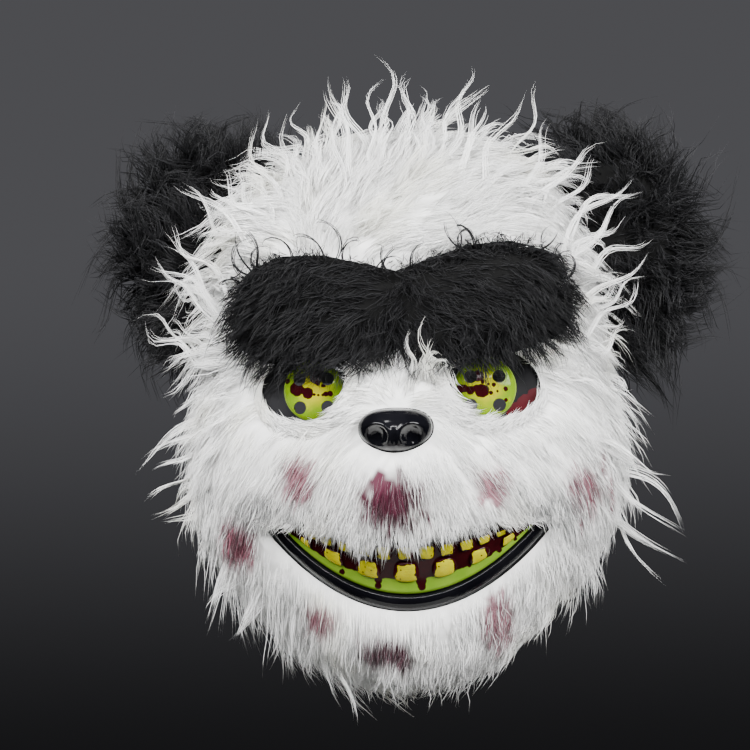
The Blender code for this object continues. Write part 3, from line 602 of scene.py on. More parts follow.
class Desk:
    """A material's node tree, with short calls for the few kinds of node that the finishes use."""

    def __init__(self, name: str) -> None:
        """Starts a material with its Principled shader."""
        self.material = bpy.data.materials.new(name)
        self.material.use_nodes = True
        self.tree = self.material.node_tree
        self.shader = self.tree.nodes["Principled BSDF"]
        self.places = self.node("ShaderNodeTexCoord").outputs["Object"]

    def node(self, kind: str, **settings: object) -> Node:
        """A new node with its settings."""
        made = self.tree.nodes.new(kind)
        for key, value in settings.items():
            setattr(made, key, value)
        return made

    def feed(self, socket: Socket, value: object) -> None:
        """Links a socket into another, or sets its value."""
        if isinstance(value, Socket):
            self.tree.links.new(value, socket)
        else:
            socket.default_value = value

    def set_inputs(self, node: Node, values: dict[str, object]) -> None:
        """Sets a node's own inputs, each by its name."""
        for name, value in values.items():
            node.inputs[name].default_value = value

    def colour(self, value: Socket) -> None:
        """Links the surface's colour."""
        self.feed(self.shader.inputs["Base Color"], value)

    def math(self, operation: str, *values: object) -> Socket:
        """One sum of up to three values."""
        made = self.node("ShaderNodeMath", operation=operation)
        for socket, value in zip(made.inputs, values):
            self.feed(socket, value)
        return made.outputs[0]

    def vector(self, operation: str, *values: object) -> Node:
        """One sum of vectors."""
        made = self.node("ShaderNodeVectorMath", operation=operation)
        for socket, value in zip(made.inputs, values):
            self.feed(socket, value)
        return made

    def blend(self, share: object, first: object, second: object) -> Socket:
        """A colour between two others."""
        made = self.node("ShaderNodeMix", data_type="RGBA")
        self.feed(made.inputs[0], share)
        for socket, value in ((made.inputs[6], first), (made.inputs[7], second)):
            self.feed(socket, (*value, 1.0) if isinstance(value, tuple) else value)
        return made.outputs[2]

    def noise(self, scale: float, detail: float) -> Socket:
        """Cloudy noise from 0 to 1, its patches about 1 / scale metres across."""
        made = self.node("ShaderNodeTexNoise")
        self.feed(made.inputs["Vector"], self.places)
        self.set_inputs(made, {"Scale": scale, "Detail": detail})
        return made.outputs["Fac"]

    def specks(self, scale: float, places: Socket) -> Socket:
        """How far places are from specks scattered about 1 / scale metres apart."""
        made = self.node("ShaderNodeTexVoronoi")
        self.feed(made.inputs["Vector"], places)
        made.inputs["Scale"].default_value = scale
        return made.outputs["Distance"]

    def ease(self, value: object, low: float, high: float) -> Socket:
        """0 up to low and 1 from high, eased between. High may be below low."""
        made = self.node("ShaderNodeMapRange", interpolation_type="SMOOTHSTEP")
        self.feed(made.inputs["Value"], value)
        self.set_inputs(made, {"From Min": low, "From Max": high})
        return made.outputs["Result"]

    def painted(self, name: str) -> Socket:
        """A colour attribute of the piece."""
        return self.node("ShaderNodeAttribute", attribute_name=name).outputs["Color"]

    def bump(self, height: object, depth: float, strength: float) -> None:
        """Bumps on the surface from a height of 0 to 1."""
        made = self.node("ShaderNodeBump")
        self.set_inputs(made, {"Strength": strength, "Distance": depth})
        self.feed(made.inputs["Height"], height)
        self.tree.links.new(made.outputs["Normal"], self.shader.inputs["Normal"])

    def splashes(self, blobs: tuple) -> Socket:
        """A share that is 1 inside a union of round blobs, run together as liquid does, and 0 outside.

        Args:
            blobs: (x, z, radius) of each, in metres.

        Returns:
            The share.
        """
        edge, merging = 0.0002, 0.001
        wobble = self.node("ShaderNodeTexNoise", noise_dimensions="3D")
        self.feed(wobble.inputs["Vector"], self.places)
        wobble.inputs["Scale"].default_value = 420
        moved = self.vector("SUBTRACT", wobble.outputs["Color"], (0.5, 0.5, 0.5)).outputs[0]
        moved = self.vector("MULTIPLY", moved, (0.0011, 0.0, 0.0011)).outputs[0]
        moved = self.vector("ADD", self.places, moved).outputs[0]
        flat = self.vector("MULTIPLY", moved, (1, 0, 1)).outputs[0]
        nearest = None
        for x, z, radius in blobs:
            away = self.vector("DISTANCE", flat, (x, 0, z)).outputs["Value"]
            gap = self.math("SUBTRACT", away, radius)
            nearest = gap if nearest is None else self.math("SMOOTH_MIN", nearest, gap, merging)
        return self.ease(nearest, edge, -edge)


@dataclass(frozen=True)
class GlossFinish:
    """Glossy moulded plastic, with faint waviness and uneven gloss."""

    name: str
    roughness: float
    coat: float
    specular: float

    def desk(self) -> Desk:
        """The material's nodes, open for its colour."""
        desk = Desk(self.name)
        rough = desk.math("MULTIPLY_ADD", desk.noise(160, 5), 0.16, self.roughness - 0.05)
        desk.feed(desk.shader.inputs["Roughness"], rough)
        desk.set_inputs(desk.shader, {
            "Specular IOR Level": self.specular,
            "Coat Weight": self.coat,
            "Coat Roughness": 0.06,
        })
        desk.bump(desk.noise(70, 3), 0.0006, 0.35)
        return desk

    def dusty(self, desk: Desk, colour: Colour) -> Socket:
        """A colour with paler dust in clouds."""
        pale = tuple(1.5 * part + 0.002 for part in colour)
        return desk.blend(desk.ease(desk.noise(45, 4), 0.35, 0.75), colour, pale)

    def material(self, colour: Colour) -> Material:
        """The finished material in one dusty colour."""
        desk = self.desk()
        desk.colour(self.dusty(desk, colour))
        return desk.material


@dataclass(frozen=True)
class FurFinish:
    """Fur strands coloured by the tint that each was given, soft-looking from a wide dull sheen."""

    name: str
    roughness: float
    sheen: float
    sheen_tint: Colour
    specular: float = 0.35

    def material(self) -> Material:
        """The finished material."""
        desk = Desk(self.name)
        desk.colour(desk.painted("tint"))
        desk.set_inputs(desk.shader, {
            "Roughness": self.roughness,
            "Specular IOR Level": self.specular,
            "Sheen Weight": self.sheen,
            "Sheen Roughness": 0.4,
            "Sheen Tint": (*self.sheen_tint, 1.0),
        })
        return desk.material


WHITE_FUR = FurFinish("white_fur", 0.6, 0.25, (1.0, 1.0, 1.0))
BLACK_FUR = FurFinish("black_fur", 0.5, 0.02, (0.5, 0.5, 0.55), 0.18)
DULL_BLACK = FurFinish("dull_black", 0.9, 0.0, (0.5, 0.5, 0.5), 0.05)

# The black fur's backing, as a grey.
BACKING_BLACK = 0.005

PLASTIC_BLACK = (0.002, 0.002, 0.003)
SHELL_BLACK = (0.003, 0.003, 0.004)
SHELL_BLOOD = (0.055, 0.003, 0.006)

# Pairs that a finish goes between.
EYE_YELLOW_GREEN = ((0.42, 0.39, 0.001), (0.14, 0.25, 0.004))
EYE_BLOOD = ((0.01, 0.001, 0.0015), (0.034, 0.003, 0.005))
TOOTH_YELLOW = ((0.48, 0.44, 0.001), (0.36, 0.33, 0.001))
TOOTH_BLOOD = ((0.006, 0.001, 0.0015), (0.04, 0.003, 0.006))
GUM_GREEN = ((0.09, 0.21, 0.006), (0.22, 0.35, 0.03))
GUM_BLOOD = ((0.004, 0.001, 0.001), (0.035, 0.003, 0.005))
ELASTIC_BLACK = ((0.018, 0.018, 0.019), (0.055, 0.055, 0.057))
FLOOR_WHITE = ((0.62, 0.62, 0.6), (0.68, 0.68, 0.66))

# The eye's paler clouds, the pale green ring of painted highlight along its edge and its dark specks, and the
# teeth's brown specks.
EYE_CLOUD = (0.28, 0.3, 0.004)
EYE_RIM_HIGHLIGHT = (0.3, 0.42, 0.08)
EYE_SPECK = (0.03, 0.012, 0.004)
TOOTH_SPECK = (0.03, 0.01, 0.003)


@dataclass(frozen=True)
class EyeFinish:
    """A yellow-green eye, greener towards its edge, with a pale green ring of painted highlight along the
    edge and dark red splashes.
    """

    name: str
    centre: tuple[float, float]
    radius: float
    blobs: tuple[tuple[float, float, float], ...]

    def material(self) -> Material:
        """The finished material."""
        desk = GlossFinish(self.name, 0.1, 0.12, 0.09).desk()
        flat = desk.vector("MULTIPLY", desk.places, (1, 0, 1)).outputs[0]
        away = desk.vector("DISTANCE", flat, (self.centre[0], 0, self.centre[1])).outputs["Value"]
        patchy = desk.math("MULTIPLY_ADD", desk.noise(150, 4), 0.007, away)
        greener = desk.ease(patchy, 0.35 * self.radius, 1.02 * self.radius)
        colour = desk.blend(greener, *EYE_YELLOW_GREEN)
        colour = desk.blend(desk.ease(desk.noise(420, 2), 0.6, 0.8), colour, EYE_CLOUD)
        # Painted highlight: a pale green ring along the eye's edge.
        colour = desk.blend(desk.ease(away, 0.95 * self.radius, 1.0 * self.radius), colour, EYE_RIM_HIGHLIGHT)
        colour = desk.blend(desk.ease(desk.specks(190, flat), 0.09, 0.05), colour, EYE_SPECK)
        blood = desk.blend(desk.noise(240, 3), *EYE_BLOOD)
        placed = tuple((self.centre[0] + x, self.centre[1] + z, r) for x, z, r in self.blobs)
        desk.colour(desk.blend(desk.splashes(placed), colour, blood))
        return desk.material


# Splashes on each eye: across, up and radius from the eye's middle, in metres.
LEFT_SPLASHES = (
    (-0.0085, 0.0008, 0.0036), (-0.0055, 0.0, 0.0016), (-0.0028, -0.0014, 0.0028),
    (0.0006, -0.0022, 0.0007), (0.0024, -0.0024, 0.0006), (0.0045, -0.0024, 0.0007),
    (0.006, -0.002, 0.0013), (0.0084, -0.0019, 0.0014), (0.0014, 0.0064, 0.0034),
    (0.0032, 0.0086, 0.0022), (0.0068, 0.0062, 0.0014), (0.0022, 0.0034, 0.0011),
    (-0.0132, 0.0048, 0.0014), (0.005, 0.0022, 0.0011), (0.0127, -0.0046, 0.0005),
)
RIGHT_SPLASHES = (
    (-0.0033, 0.0058, 0.0028), (-0.001, 0.003, 0.001), (0.0018, 0.0018, 0.0007),
    (0.0044, 0.0014, 0.001), (0.0072, 0.0056, 0.002), (-0.0014, -0.0016, 0.0034),
    (-0.004, -0.0004, 0.0018), (0.003, -0.0026, 0.001), (0.0062, -0.0018, 0.0006),
    (0.0102, -0.0007, 0.0012), (-0.0071, -0.0012, 0.0021), (-0.01, -0.0002, 0.0018),
    (-0.012, -0.0002, 0.0022), (0.0068, -0.0096, 0.0015), (0.0102, -0.0062, 0.001),
)

# The splash on the shell beside the right eye, from the face's middle.
SHELL_SPLASHES = ((0.0575, -0.011, 0.005), (0.0625, -0.007, 0.005), (0.0665, -0.0025, 0.0035))


# Moulded pieces


@dataclass
class EyeForm:
    """A domed eye disc on its skirt, with four peepholes."""

    side: Side
    radius: float = 0.0155
    dome: float = 0.0045
    wall: float = 0.0016
    skirt: float = 0.0045
    proud: float = 0.002
    turn: float = math.radians(9)
    hole: float = 0.0032
    hole_spacing: float = 0.014
    hole_drop: float = 0.0015
    cut_front: float = 0.02
    cut_depth: float = 0.03

    def frame(self) -> tuple[Array, Array, Array]:
        """The middle of its edge, its outward axis and a direction across it."""
        floor = FACE.on_face(np.array(self.side.value * FACE.eye_spread), np.array(FACE.eye_height))
        axis = np.array([self.side.value * math.sin(self.turn), -math.cos(self.turn), 0.0])
        across = np.array([math.cos(self.turn), self.side.value * math.sin(self.turn), 0.0])
        return floor + axis * self.proud, axis, across

    def turned(self, name: str, profile: Array, sides: int = 96) -> Piece:
        """A profile of radius and height turned about the eye's axis, its ends on the axis."""
        middle, axis, across = self.frame()
        angle = even_angles(sides)
        spokes = np.cos(angle)[:, None] * across + np.sin(angle)[:, None] * UP
        grid = middle + axis * profile[1:-1, None, 1:] + spokes[None] * profile[1:-1, None, :1]
        poles = [middle + axis * profile[k, 1] for k in (0, -1)]
        return outward(mesh_object(name, *capped_grid(grid, poles[0], poles[1])))

    def plug(self, wide: float, front: float) -> Piece:
        """A round cutter along the eye's axis, up to a height in front."""
        back = -self.cut_depth
        return self.turned("cutter", np.array([(0, front), (wide, front), (wide, back), (0, back)]))

    def port(self) -> Piece:
        """A cutter for the shell's port."""
        return self.plug(self.radius + FACE.seat_gap, self.cut_front)

    def room(self) -> Piece:
        """A cutter for the room that the brow patch leaves the eye."""
        return self.plug(self.radius + 2 * FACE.seat_gap, self.dome + 3 * FACE.seat_gap)

    def build(self) -> Piece:
        """The eye."""
        name = f"eye_{self.side.name.lower()}"
        arc = np.linspace(0, math.pi / 2, 17)
        outer = np.stack([self.radius * np.sin(arc) ** 0.9, self.dome * np.cos(arc)], axis=-1)
        bore = self.radius - self.wall
        inner = np.stack([bore * np.sin(arc) ** 0.9, (self.dome - self.wall) * np.cos(arc) - 0.0002], axis=-1)
        edge = np.array([(self.radius, -0.0012), (self.radius, -self.skirt), (bore, -self.skirt)])
        eye = self.turned(f"{name}_disc", np.vstack([outer, edge, inner[::-1]]))
        middle = self.frame()[0]
        cutters = []
        for row in (-0.5, 0.5):
            for column in (-0.5, 0.5):
                x = middle[0] + column * self.hole_spacing
                z = middle[2] + row * self.hole_spacing - self.hole_drop
                hole = oval(x, z, self.hole, self.hole, 40)
                cutters.append(prism(hole, middle[1] - self.cut_front, middle[1] + self.cut_front))
        carve(eye, "DIFFERENCE", cutters)
        blobs = LEFT_SPLASHES if self.side is Side.LEFT else RIGHT_SPLASHES
        finish = EyeFinish(f"{name}_finish", (middle[0], middle[2]), self.radius, blobs)
        dress(eye, finish.material())
        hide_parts(name)
        return eye


@dataclass
class Shell:
    """The thin moulded shell, with a port for each eye."""

    def build(self) -> Piece:
        """The shell, glossy black, with a dried splash beside the right eye."""
        shell = face_wall("shell_wall", -FACE.wall, 0.0, 112, 34)
        carve(shell, "DIFFERENCE", [EyeForm(side).port() for side in Side])
        finish = GlossFinish("shell_black", 0.55, 0.0, 0.12)
        desk = finish.desk()
        plain = finish.dusty(desk, SHELL_BLACK)
        desk.colour(desk.blend(desk.splashes(SHELL_SPLASHES), plain, SHELL_BLOOD))
        dress(shell, desk.material)
        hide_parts("face_shell")
        return shell


@dataclass
class Nose:
    """The glossy button nose, squarish above and rounder below, with two nostrils under curled rims."""

    height: float = -0.02
    half_width: float = 0.0178
    half_height: float = 0.0105
    rise: float = 0.0125
    top_roundness: float = 0.82
    low_roundness: float = 1.05
    narrowing: float = 0.1
    nostril_spread: float = 0.0086
    nostril_drop: float = 0.003
    nostril_radius: float = 0.0054

    def outline(self, angle: Array) -> Array:
        """Places round the nose seen from the front, about its middle."""
        up = (1 + np.sin(angle)) / 2
        roundness = self.low_roundness + (self.top_roundness - self.low_roundness) * up
        around = squarish(angle, roundness[:, None])
        around[:, 0] *= 1 + self.narrowing * np.sin(angle)
        return around * (self.half_width, self.half_height)

    def nostrils(self, x: Array, z: Array) -> Array:
        """How far the front stands out at the nostrils: hollow inside, raised along a rim over each."""
        out = np.zeros(x.shape)
        for side in Side:
            across = (x - side.value * self.nostril_spread) / self.nostril_radius
            up = (z + self.nostril_drop) / (0.95 * self.nostril_radius)
            away = np.hypot(across, up)
            over = smooth(up - 0.9 * side.value * across, -0.4, 0.7)
            out = out - 0.006 * np.exp(-((away / 0.92) ** 3.0))
            out = out + 0.0011 * over * np.exp(-(((away - 1.15) / 0.24) ** 2))
        return out - 0.001 * np.exp(-((x / 0.0012) ** 2)) * smooth(-z, 0.0, 0.004)

    def build(self) -> Piece:
        """The nose: a half ball over its outline whose back lies on the shell."""
        base = FACE.on_face(np.array(0.0), np.array(self.height))
        turn = even_angles(112)
        tilt = np.linspace(0, math.pi / 2, 44)[1:, None]
        rim = self.outline(turn)
        x = np.sin(tilt) ** 0.92 * rim[:, 0]
        z = np.sin(tilt) ** 0.92 * rim[:, 1]
        out = self.rise * np.cos(tilt) ** 0.9 + self.nostrils(x, z)
        out = out * smooth(np.cos(tilt) + 0 * turn, -0.05, 0.06)
        front = np.stack([x, base[1] - out, base[2] + z], axis=-1)
        floor = FACE.on_face(front[..., 0], front[..., 2], FACE.seat_gap + 0.0003)
        front[..., 1] = np.minimum(front[..., 1], floor[..., 1])
        front[-1] = FACE.on_face(x[-1], base[2] + z[-1], FACE.seat_gap)
        shares = (0.8, 0.5, 0.2)
        back = [FACE.on_face(x[-1] * s, base[2] + z[-1] * s, FACE.seat_gap) for s in shares]
        grid = np.concatenate([front, np.stack(back)])
        first = base + FORWARD * self.rise
        last = FACE.on_face(np.array(0.0), np.array(self.height), FACE.seat_gap)
        nose = outward(mesh_object("nose_button", *capped_grid(grid, first, last)))
        dress(nose, GlossFinish("nose_gloss", 0.1, 0.32, 0.1).material(PLASTIC_BLACK))
        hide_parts("nose")
        return nose


NOSE = Nose()


@dataclass(frozen=True)
class ToothRow:
    """A row of teeth: how many, the gap between two, the share of the mouth's width that it takes up, and
    where its roots and bite are between the gum's lower and upper edge."""

    name: str
    count: int
    gap: float
    span: float
    root: float
    bite: float
    root_shift: float
    bite_shift: float


TOOTH_ROWS = (
    ToothRow("lower", 7, 0.005, 0.66, 0.23, 0.66, 0.0, -0.0004),
    ToothRow("upper", 11, 0.001, 0.56, 1.0, 0.66, -0.0008, 0.0004),
)


@dataclass
class Grin:
    """The mouth: a rounded lip, a gum plate and two rows of teeth."""

    lip_band: float = 0.0075
    lip_rise: float = 0.0042
    gum_rise: float = 0.0018
    tooth_rise: float = 0.0024
    tooth_taper: float = 0.22
    drips: tuple = (
        (-0.011, -0.0925, 0.002),
        (-0.0112, -0.0955, 0.0016),
        (0.01, -0.093, 0.0026),
        (0.0102, -0.096, 0.002),
        (-0.029, -0.0885, 0.0014),
        (0.0335, -0.086, 0.001),
        (0.048, -0.0785, 0.0014),
        (0.056, -0.0735, 0.001),
    )

    def lip(self) -> Piece:
        """The lip: a rounded section carried round the crescent, lying on the shell, a little uneven as
        moulded and lumpy at its corners."""
        count = 300
        angle = even_angles(count)
        around = np.linspace(0, math.pi, 17)
        inset = self.lip_band * (1 - np.cos(around)) / 2
        rise = FACE.seat_gap + (self.lip_rise - FACE.seat_gap) * np.sin(around) ** 0.8
        corner = np.exp(-((np.sin(angle) / 0.22) ** 2))
        uneven = 1 + 0.06 * np.sin(5 * angle) * np.sin(2 * angle)
        uneven = uneven + corner * (0.5 + 0.3 * np.sin(31 * angle))
        rings = [FACE.on_face(*MOUTH.curve(angle, i), r * uneven) for i, r in zip(inset, rise)]
        grid = np.stack([*rings, FACE.on_face(*MOUTH.curve(angle, self.lip_band / 2), FACE.seat_gap)])
        last = (len(grid) - 1) * count
        ring = np.arange(count)
        after = (ring + 1) % count
        under = np.stack([last + ring, last + after, after, ring], axis=-1)
        faces = np.vstack([grid_faces(len(grid), count), under])
        lip = outward(mesh_object("lip_band", grid.reshape(-1, 3), faces))
        dress(lip, GlossFinish("lip_gloss", 0.1, 0.45, 0.1).material(PLASTIC_BLACK))
        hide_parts("mouth_lip")
        return lip

    def gum(self) -> Piece:
        """The gum plate: a thin wall over the crescent, green along the bottom and dark with dried blood
        behind the teeth."""
        angle = np.linspace(math.radians(160), math.radians(20), 121)
        x, high = MOUTH.curve(angle, self.lip_band + FACE.cut_gap)
        low = MOUTH.curve(-angle, self.lip_band + FACE.cut_gap)[1]
        share = np.linspace(0, 1, 15)[:, None]
        z = low + share * (high - low)
        x = np.broadcast_to(x, z.shape)
        outer = FACE.on_face(x, z, self.gum_rise).reshape(-1, 3)
        inner = FACE.on_face(x, z, FACE.seat_gap).reshape(-1, 3)
        rows, columns = z.shape
        count = rows * columns
        front = grid_faces(rows, columns, 0, wrap=False)
        back = grid_faces(rows, columns, count, wrap=False)[:, ::-1]
        index = np.arange(count).reshape(rows, columns)
        edge = np.concatenate([index[0], index[1:, -1], index[-1, -2::-1], index[-2:0:-1, 0]])
        after = np.roll(edge, -1)
        sides = np.stack([edge, edge + count, after + count, after], axis=-1)
        gum = outward(mesh_object("gum_plate", np.vstack([outer, inner]), np.vstack([front, back, sides])))
        level = np.broadcast_to(share, z.shape).ravel()
        paint(gum, "level", np.tile(level, 2)[:, None])
        desk = GlossFinish("gum_gloss", 0.1, 0.15, 0.08).desk()
        up = desk.node("ShaderNodeSeparateColor")
        desk.feed(up.inputs[0], desk.painted("level"))
        ragged = desk.math("MULTIPLY_ADD", desk.noise(140, 3), 0.26, up.outputs[0])
        green = desk.blend(desk.noise(90, 3), *GUM_GREEN)
        blood = desk.blend(desk.noise(160, 3), *GUM_BLOOD)
        colour = desk.blend(desk.ease(ragged, 0.4, 0.43), green, blood)
        desk.colour(desk.blend(desk.splashes(self.drips), colour, blood))
        dress(gum, desk.material)
        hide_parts("mouth_gum")
        return gum

    def tooth(self, name: str, x: float, half_width: float, root: tuple, bite: tuple) -> Piece:
        """One tooth: rings shrinking from its foot to its crown, each a rounded square narrower at its
        bite, lifted along a quarter circle.

        Args:
            name: the CAD node's name.
            x: its middle.
            half_width: half its width at its root.
            root: places across the mouth and the root line's heights there.
            bite: the same for the bite line.

        Returns:
            The tooth, with how near each point is to its sides and bite painted on it.
        """
        around = squarish(even_angles(32), 0.75)
        climb = np.linspace(0.15, 1.45, 9)
        size = np.concatenate([[1.0, 1.0], np.cos(climb)])[:, None]
        rise = self.tooth_rise * (0.4 + 0.6 * np.sin(climb))
        lift = np.concatenate([[FACE.seat_gap, 0.35 * self.tooth_rise], rise])
        up = size * around[:, 1]
        across = size * around[:, 0]
        wide = x + half_width * across * (1 - self.tooth_taper * (around[:, 1] + 1) / 2)
        share = (1 + up) / 2
        z = np.interp(wide, *root) * (1 - share) + np.interp(wide, *bite) * share
        grid = FACE.on_face(wide, z, self.gum_rise + lift[:, None])
        middle = (wide[-1].mean(), z[-1].mean())
        foot = FACE.on_face(*middle, self.gum_rise + FACE.seat_gap)
        crown = FACE.on_face(*middle, self.gum_rise + self.tooth_rise)
        tooth = outward(mesh_object(f"{name}_crown", *capped_grid(grid, foot, crown)))
        near = np.maximum(np.abs(across) ** 1.5, np.clip(up, 0, 1) ** 1.5)
        near = np.concatenate([[0.0], near.ravel(), [0.0]])
        paint(tooth, "edge", near[:, None])
        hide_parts(name)
        return tooth

    def tooth_finish(self) -> Material:
        """Glossy yellow, specked, with dark blood along the sides and bite."""
        desk = GlossFinish("tooth_gloss", 0.1, 0.15, 0.09).desk()
        yellow = desk.blend(desk.ease(desk.noise(120, 3), 0.35, 0.7), *TOOTH_YELLOW)
        yellow = desk.blend(desk.ease(desk.specks(300, desk.places), 0.16, 0.11), yellow, TOOTH_SPECK)
        edge = desk.node("ShaderNodeSeparateColor")
        desk.feed(edge.inputs[0], desk.painted("edge"))
        ragged = desk.math("MULTIPLY_ADD", desk.noise(170, 2), 1.1, edge.outputs[0])
        blood = desk.blend(desk.noise(200, 2), *TOOTH_BLOOD)
        desk.colour(desk.blend(desk.ease(ragged, 1.14, 1.2), yellow, blood))
        return desk.material

    def teeth(self) -> list[Piece]:
        """Both rows of teeth, shared out along the gum."""
        finish = self.tooth_finish()
        inset = self.lip_band + 2 * FACE.cut_gap
        reach = MOUTH.half_width - inset
        across = MOUTH.shift + np.linspace(-1, 1, 161) * reach * 0.995
        low = MOUTH.height(across, inset, Row.LOWER)
        high = MOUTH.height(across, inset, Row.UPPER)
        made = []
        for row in TOOTH_ROWS:
            edges = MOUTH.shift + reach * np.sin(np.linspace(-1, 1, row.count + 1) * math.pi / 2 * row.span)
            root = (across, low + row.root * (high - low) + row.root_shift)
            bite = (across, low + row.bite * (high - low) + row.bite_shift)
            for i in range(row.count):
                half_width = (edges[i + 1] - edges[i] - row.gap) / 2
                middle = (edges[i] + edges[i + 1]) / 2
                tooth = self.tooth(f"tooth_{row.name}_{i + 1}", middle, half_width, root, bite)
                dress(tooth, finish)
                made.append(tooth)
        return made


# Fur


FINE_STEPS = 10


def resampled(paths: Array, share: Array, steps: int) -> Array:
    """Paths cut to a share of their length, with evenly spread points.

    Args:
        paths: strands x points x 3.
        share: how much of each is kept, from 0 to 1.
        steps: points on each new path.

    Returns:
        Strands x steps x 3 paths.
    """
    last = paths.shape[1] - 1
    place = np.linspace(0, 1, steps)[None, :] * np.broadcast_to(share, len(paths))[:, None] * last
    low = np.minimum(place.astype(int), last - 1)
    part = (place - low)[..., None]
    row = np.arange(len(paths))[:, None]
    return paths[row, low] * (1 - part) + paths[row, low + 1] * part


def spaced(points: Array, count: int) -> Array:
    """Which points to keep so that they stand evenly apart: each next one is the furthest from those
    before it.

    Args:
        points: the places to choose from.
        count: how many are kept.

    Returns:
        The chosen points' numbers.
    """
    gap = np.full(len(points), np.inf)
    chosen = [0]
    while len(chosen) < count:
        gap = np.minimum(gap, np.linalg.norm(points - points[chosen[-1]], axis=-1))
        chosen.append(int(gap.argmax()))
    return np.array(chosen)


def clear_share(blocked: Array) -> Array:
    """How much of each strand comes before its first blocked point.

    Args:
        blocked: strands x points, True where a strand may not be.

    Returns:
        A share of each strand's length.
    """
    steps = blocked.shape[1]
    first = np.where(blocked.any(1), blocked.argmax(1), steps)
    return np.clip((first - 1) / (steps - 1), 0, 1)


@dataclass(frozen=True)
class Coat:
    """A kind of fur: how its tufts and the strands in them are shaped."""

    strands: int
    points: int
    radius: float
    spread: float
    gather: float
    fray: float
    shortest: float
    wave: float = 0.0
    waves: float = 1.0

    def strands_of(self, tufts: Array, normals: Array, rng: Random) -> Array:
        """Every strand's path, from its tuft's path: set off to one side at its root and drawn in
        towards the tuft's tip, cut to its own length and waved with its tuft.

        Args:
            tufts: tufts x points x 3 paths.
            normals: each tuft's outward direction.
            rng: the random numbers.

        Returns:
            Strands x fine steps x 3 paths, a tuft's strands one after another.
        """
        count = len(tufts)
        total = count * self.strands
        owner = np.repeat(np.arange(count), self.strands)
        along = unit(tufts[:, 1] - tufts[:, 0])
        side = unit(np.cross(along, normals))
        spin = rng.uniform(0, 2 * math.pi, (total, 1))
        out = np.sqrt(rng.uniform(0, 1, (total, 1))) * self.spread
        offset = (side[owner] * np.cos(spin) + along[owner] * np.sin(spin)) * out
        offset += normals[owner] * rng.uniform(-0.35, 0.35, (total, 1)) * self.spread
        loose = rng.normal(size=(total, 3)) * self.fray
        cut = rng.uniform(self.shortest, 1, total)
        path = resampled(tufts[owner], cut, FINE_STEPS)
        share = np.linspace(0, 1, FINE_STEPS)[None, :] * cut[:, None]
        path = path + offset[:, None] * (1 - self.gather * share[..., None] ** 1.2)
        path = path + loose[:, None] * share[..., None] ** 1.5
        phase = np.repeat(rng.uniform(0, 2 * math.pi, count), self.strands) + rng.normal(size=total) * 0.5
        reach = np.repeat(rng.uniform(0.4, 1.6, count), self.strands) * self.wave
        turn = 2 * math.pi * self.waves * share + phase[:, None]
        swing = side[owner][:, None] * (np.sin(turn) - np.sin(phase)[:, None])[..., None]
        swing = swing + normals[owner][:, None] * 0.5 * (np.cos(turn) - np.cos(phase)[:, None])[..., None]
        return path + swing * (reach[:, None] * share**0.7)[..., None]


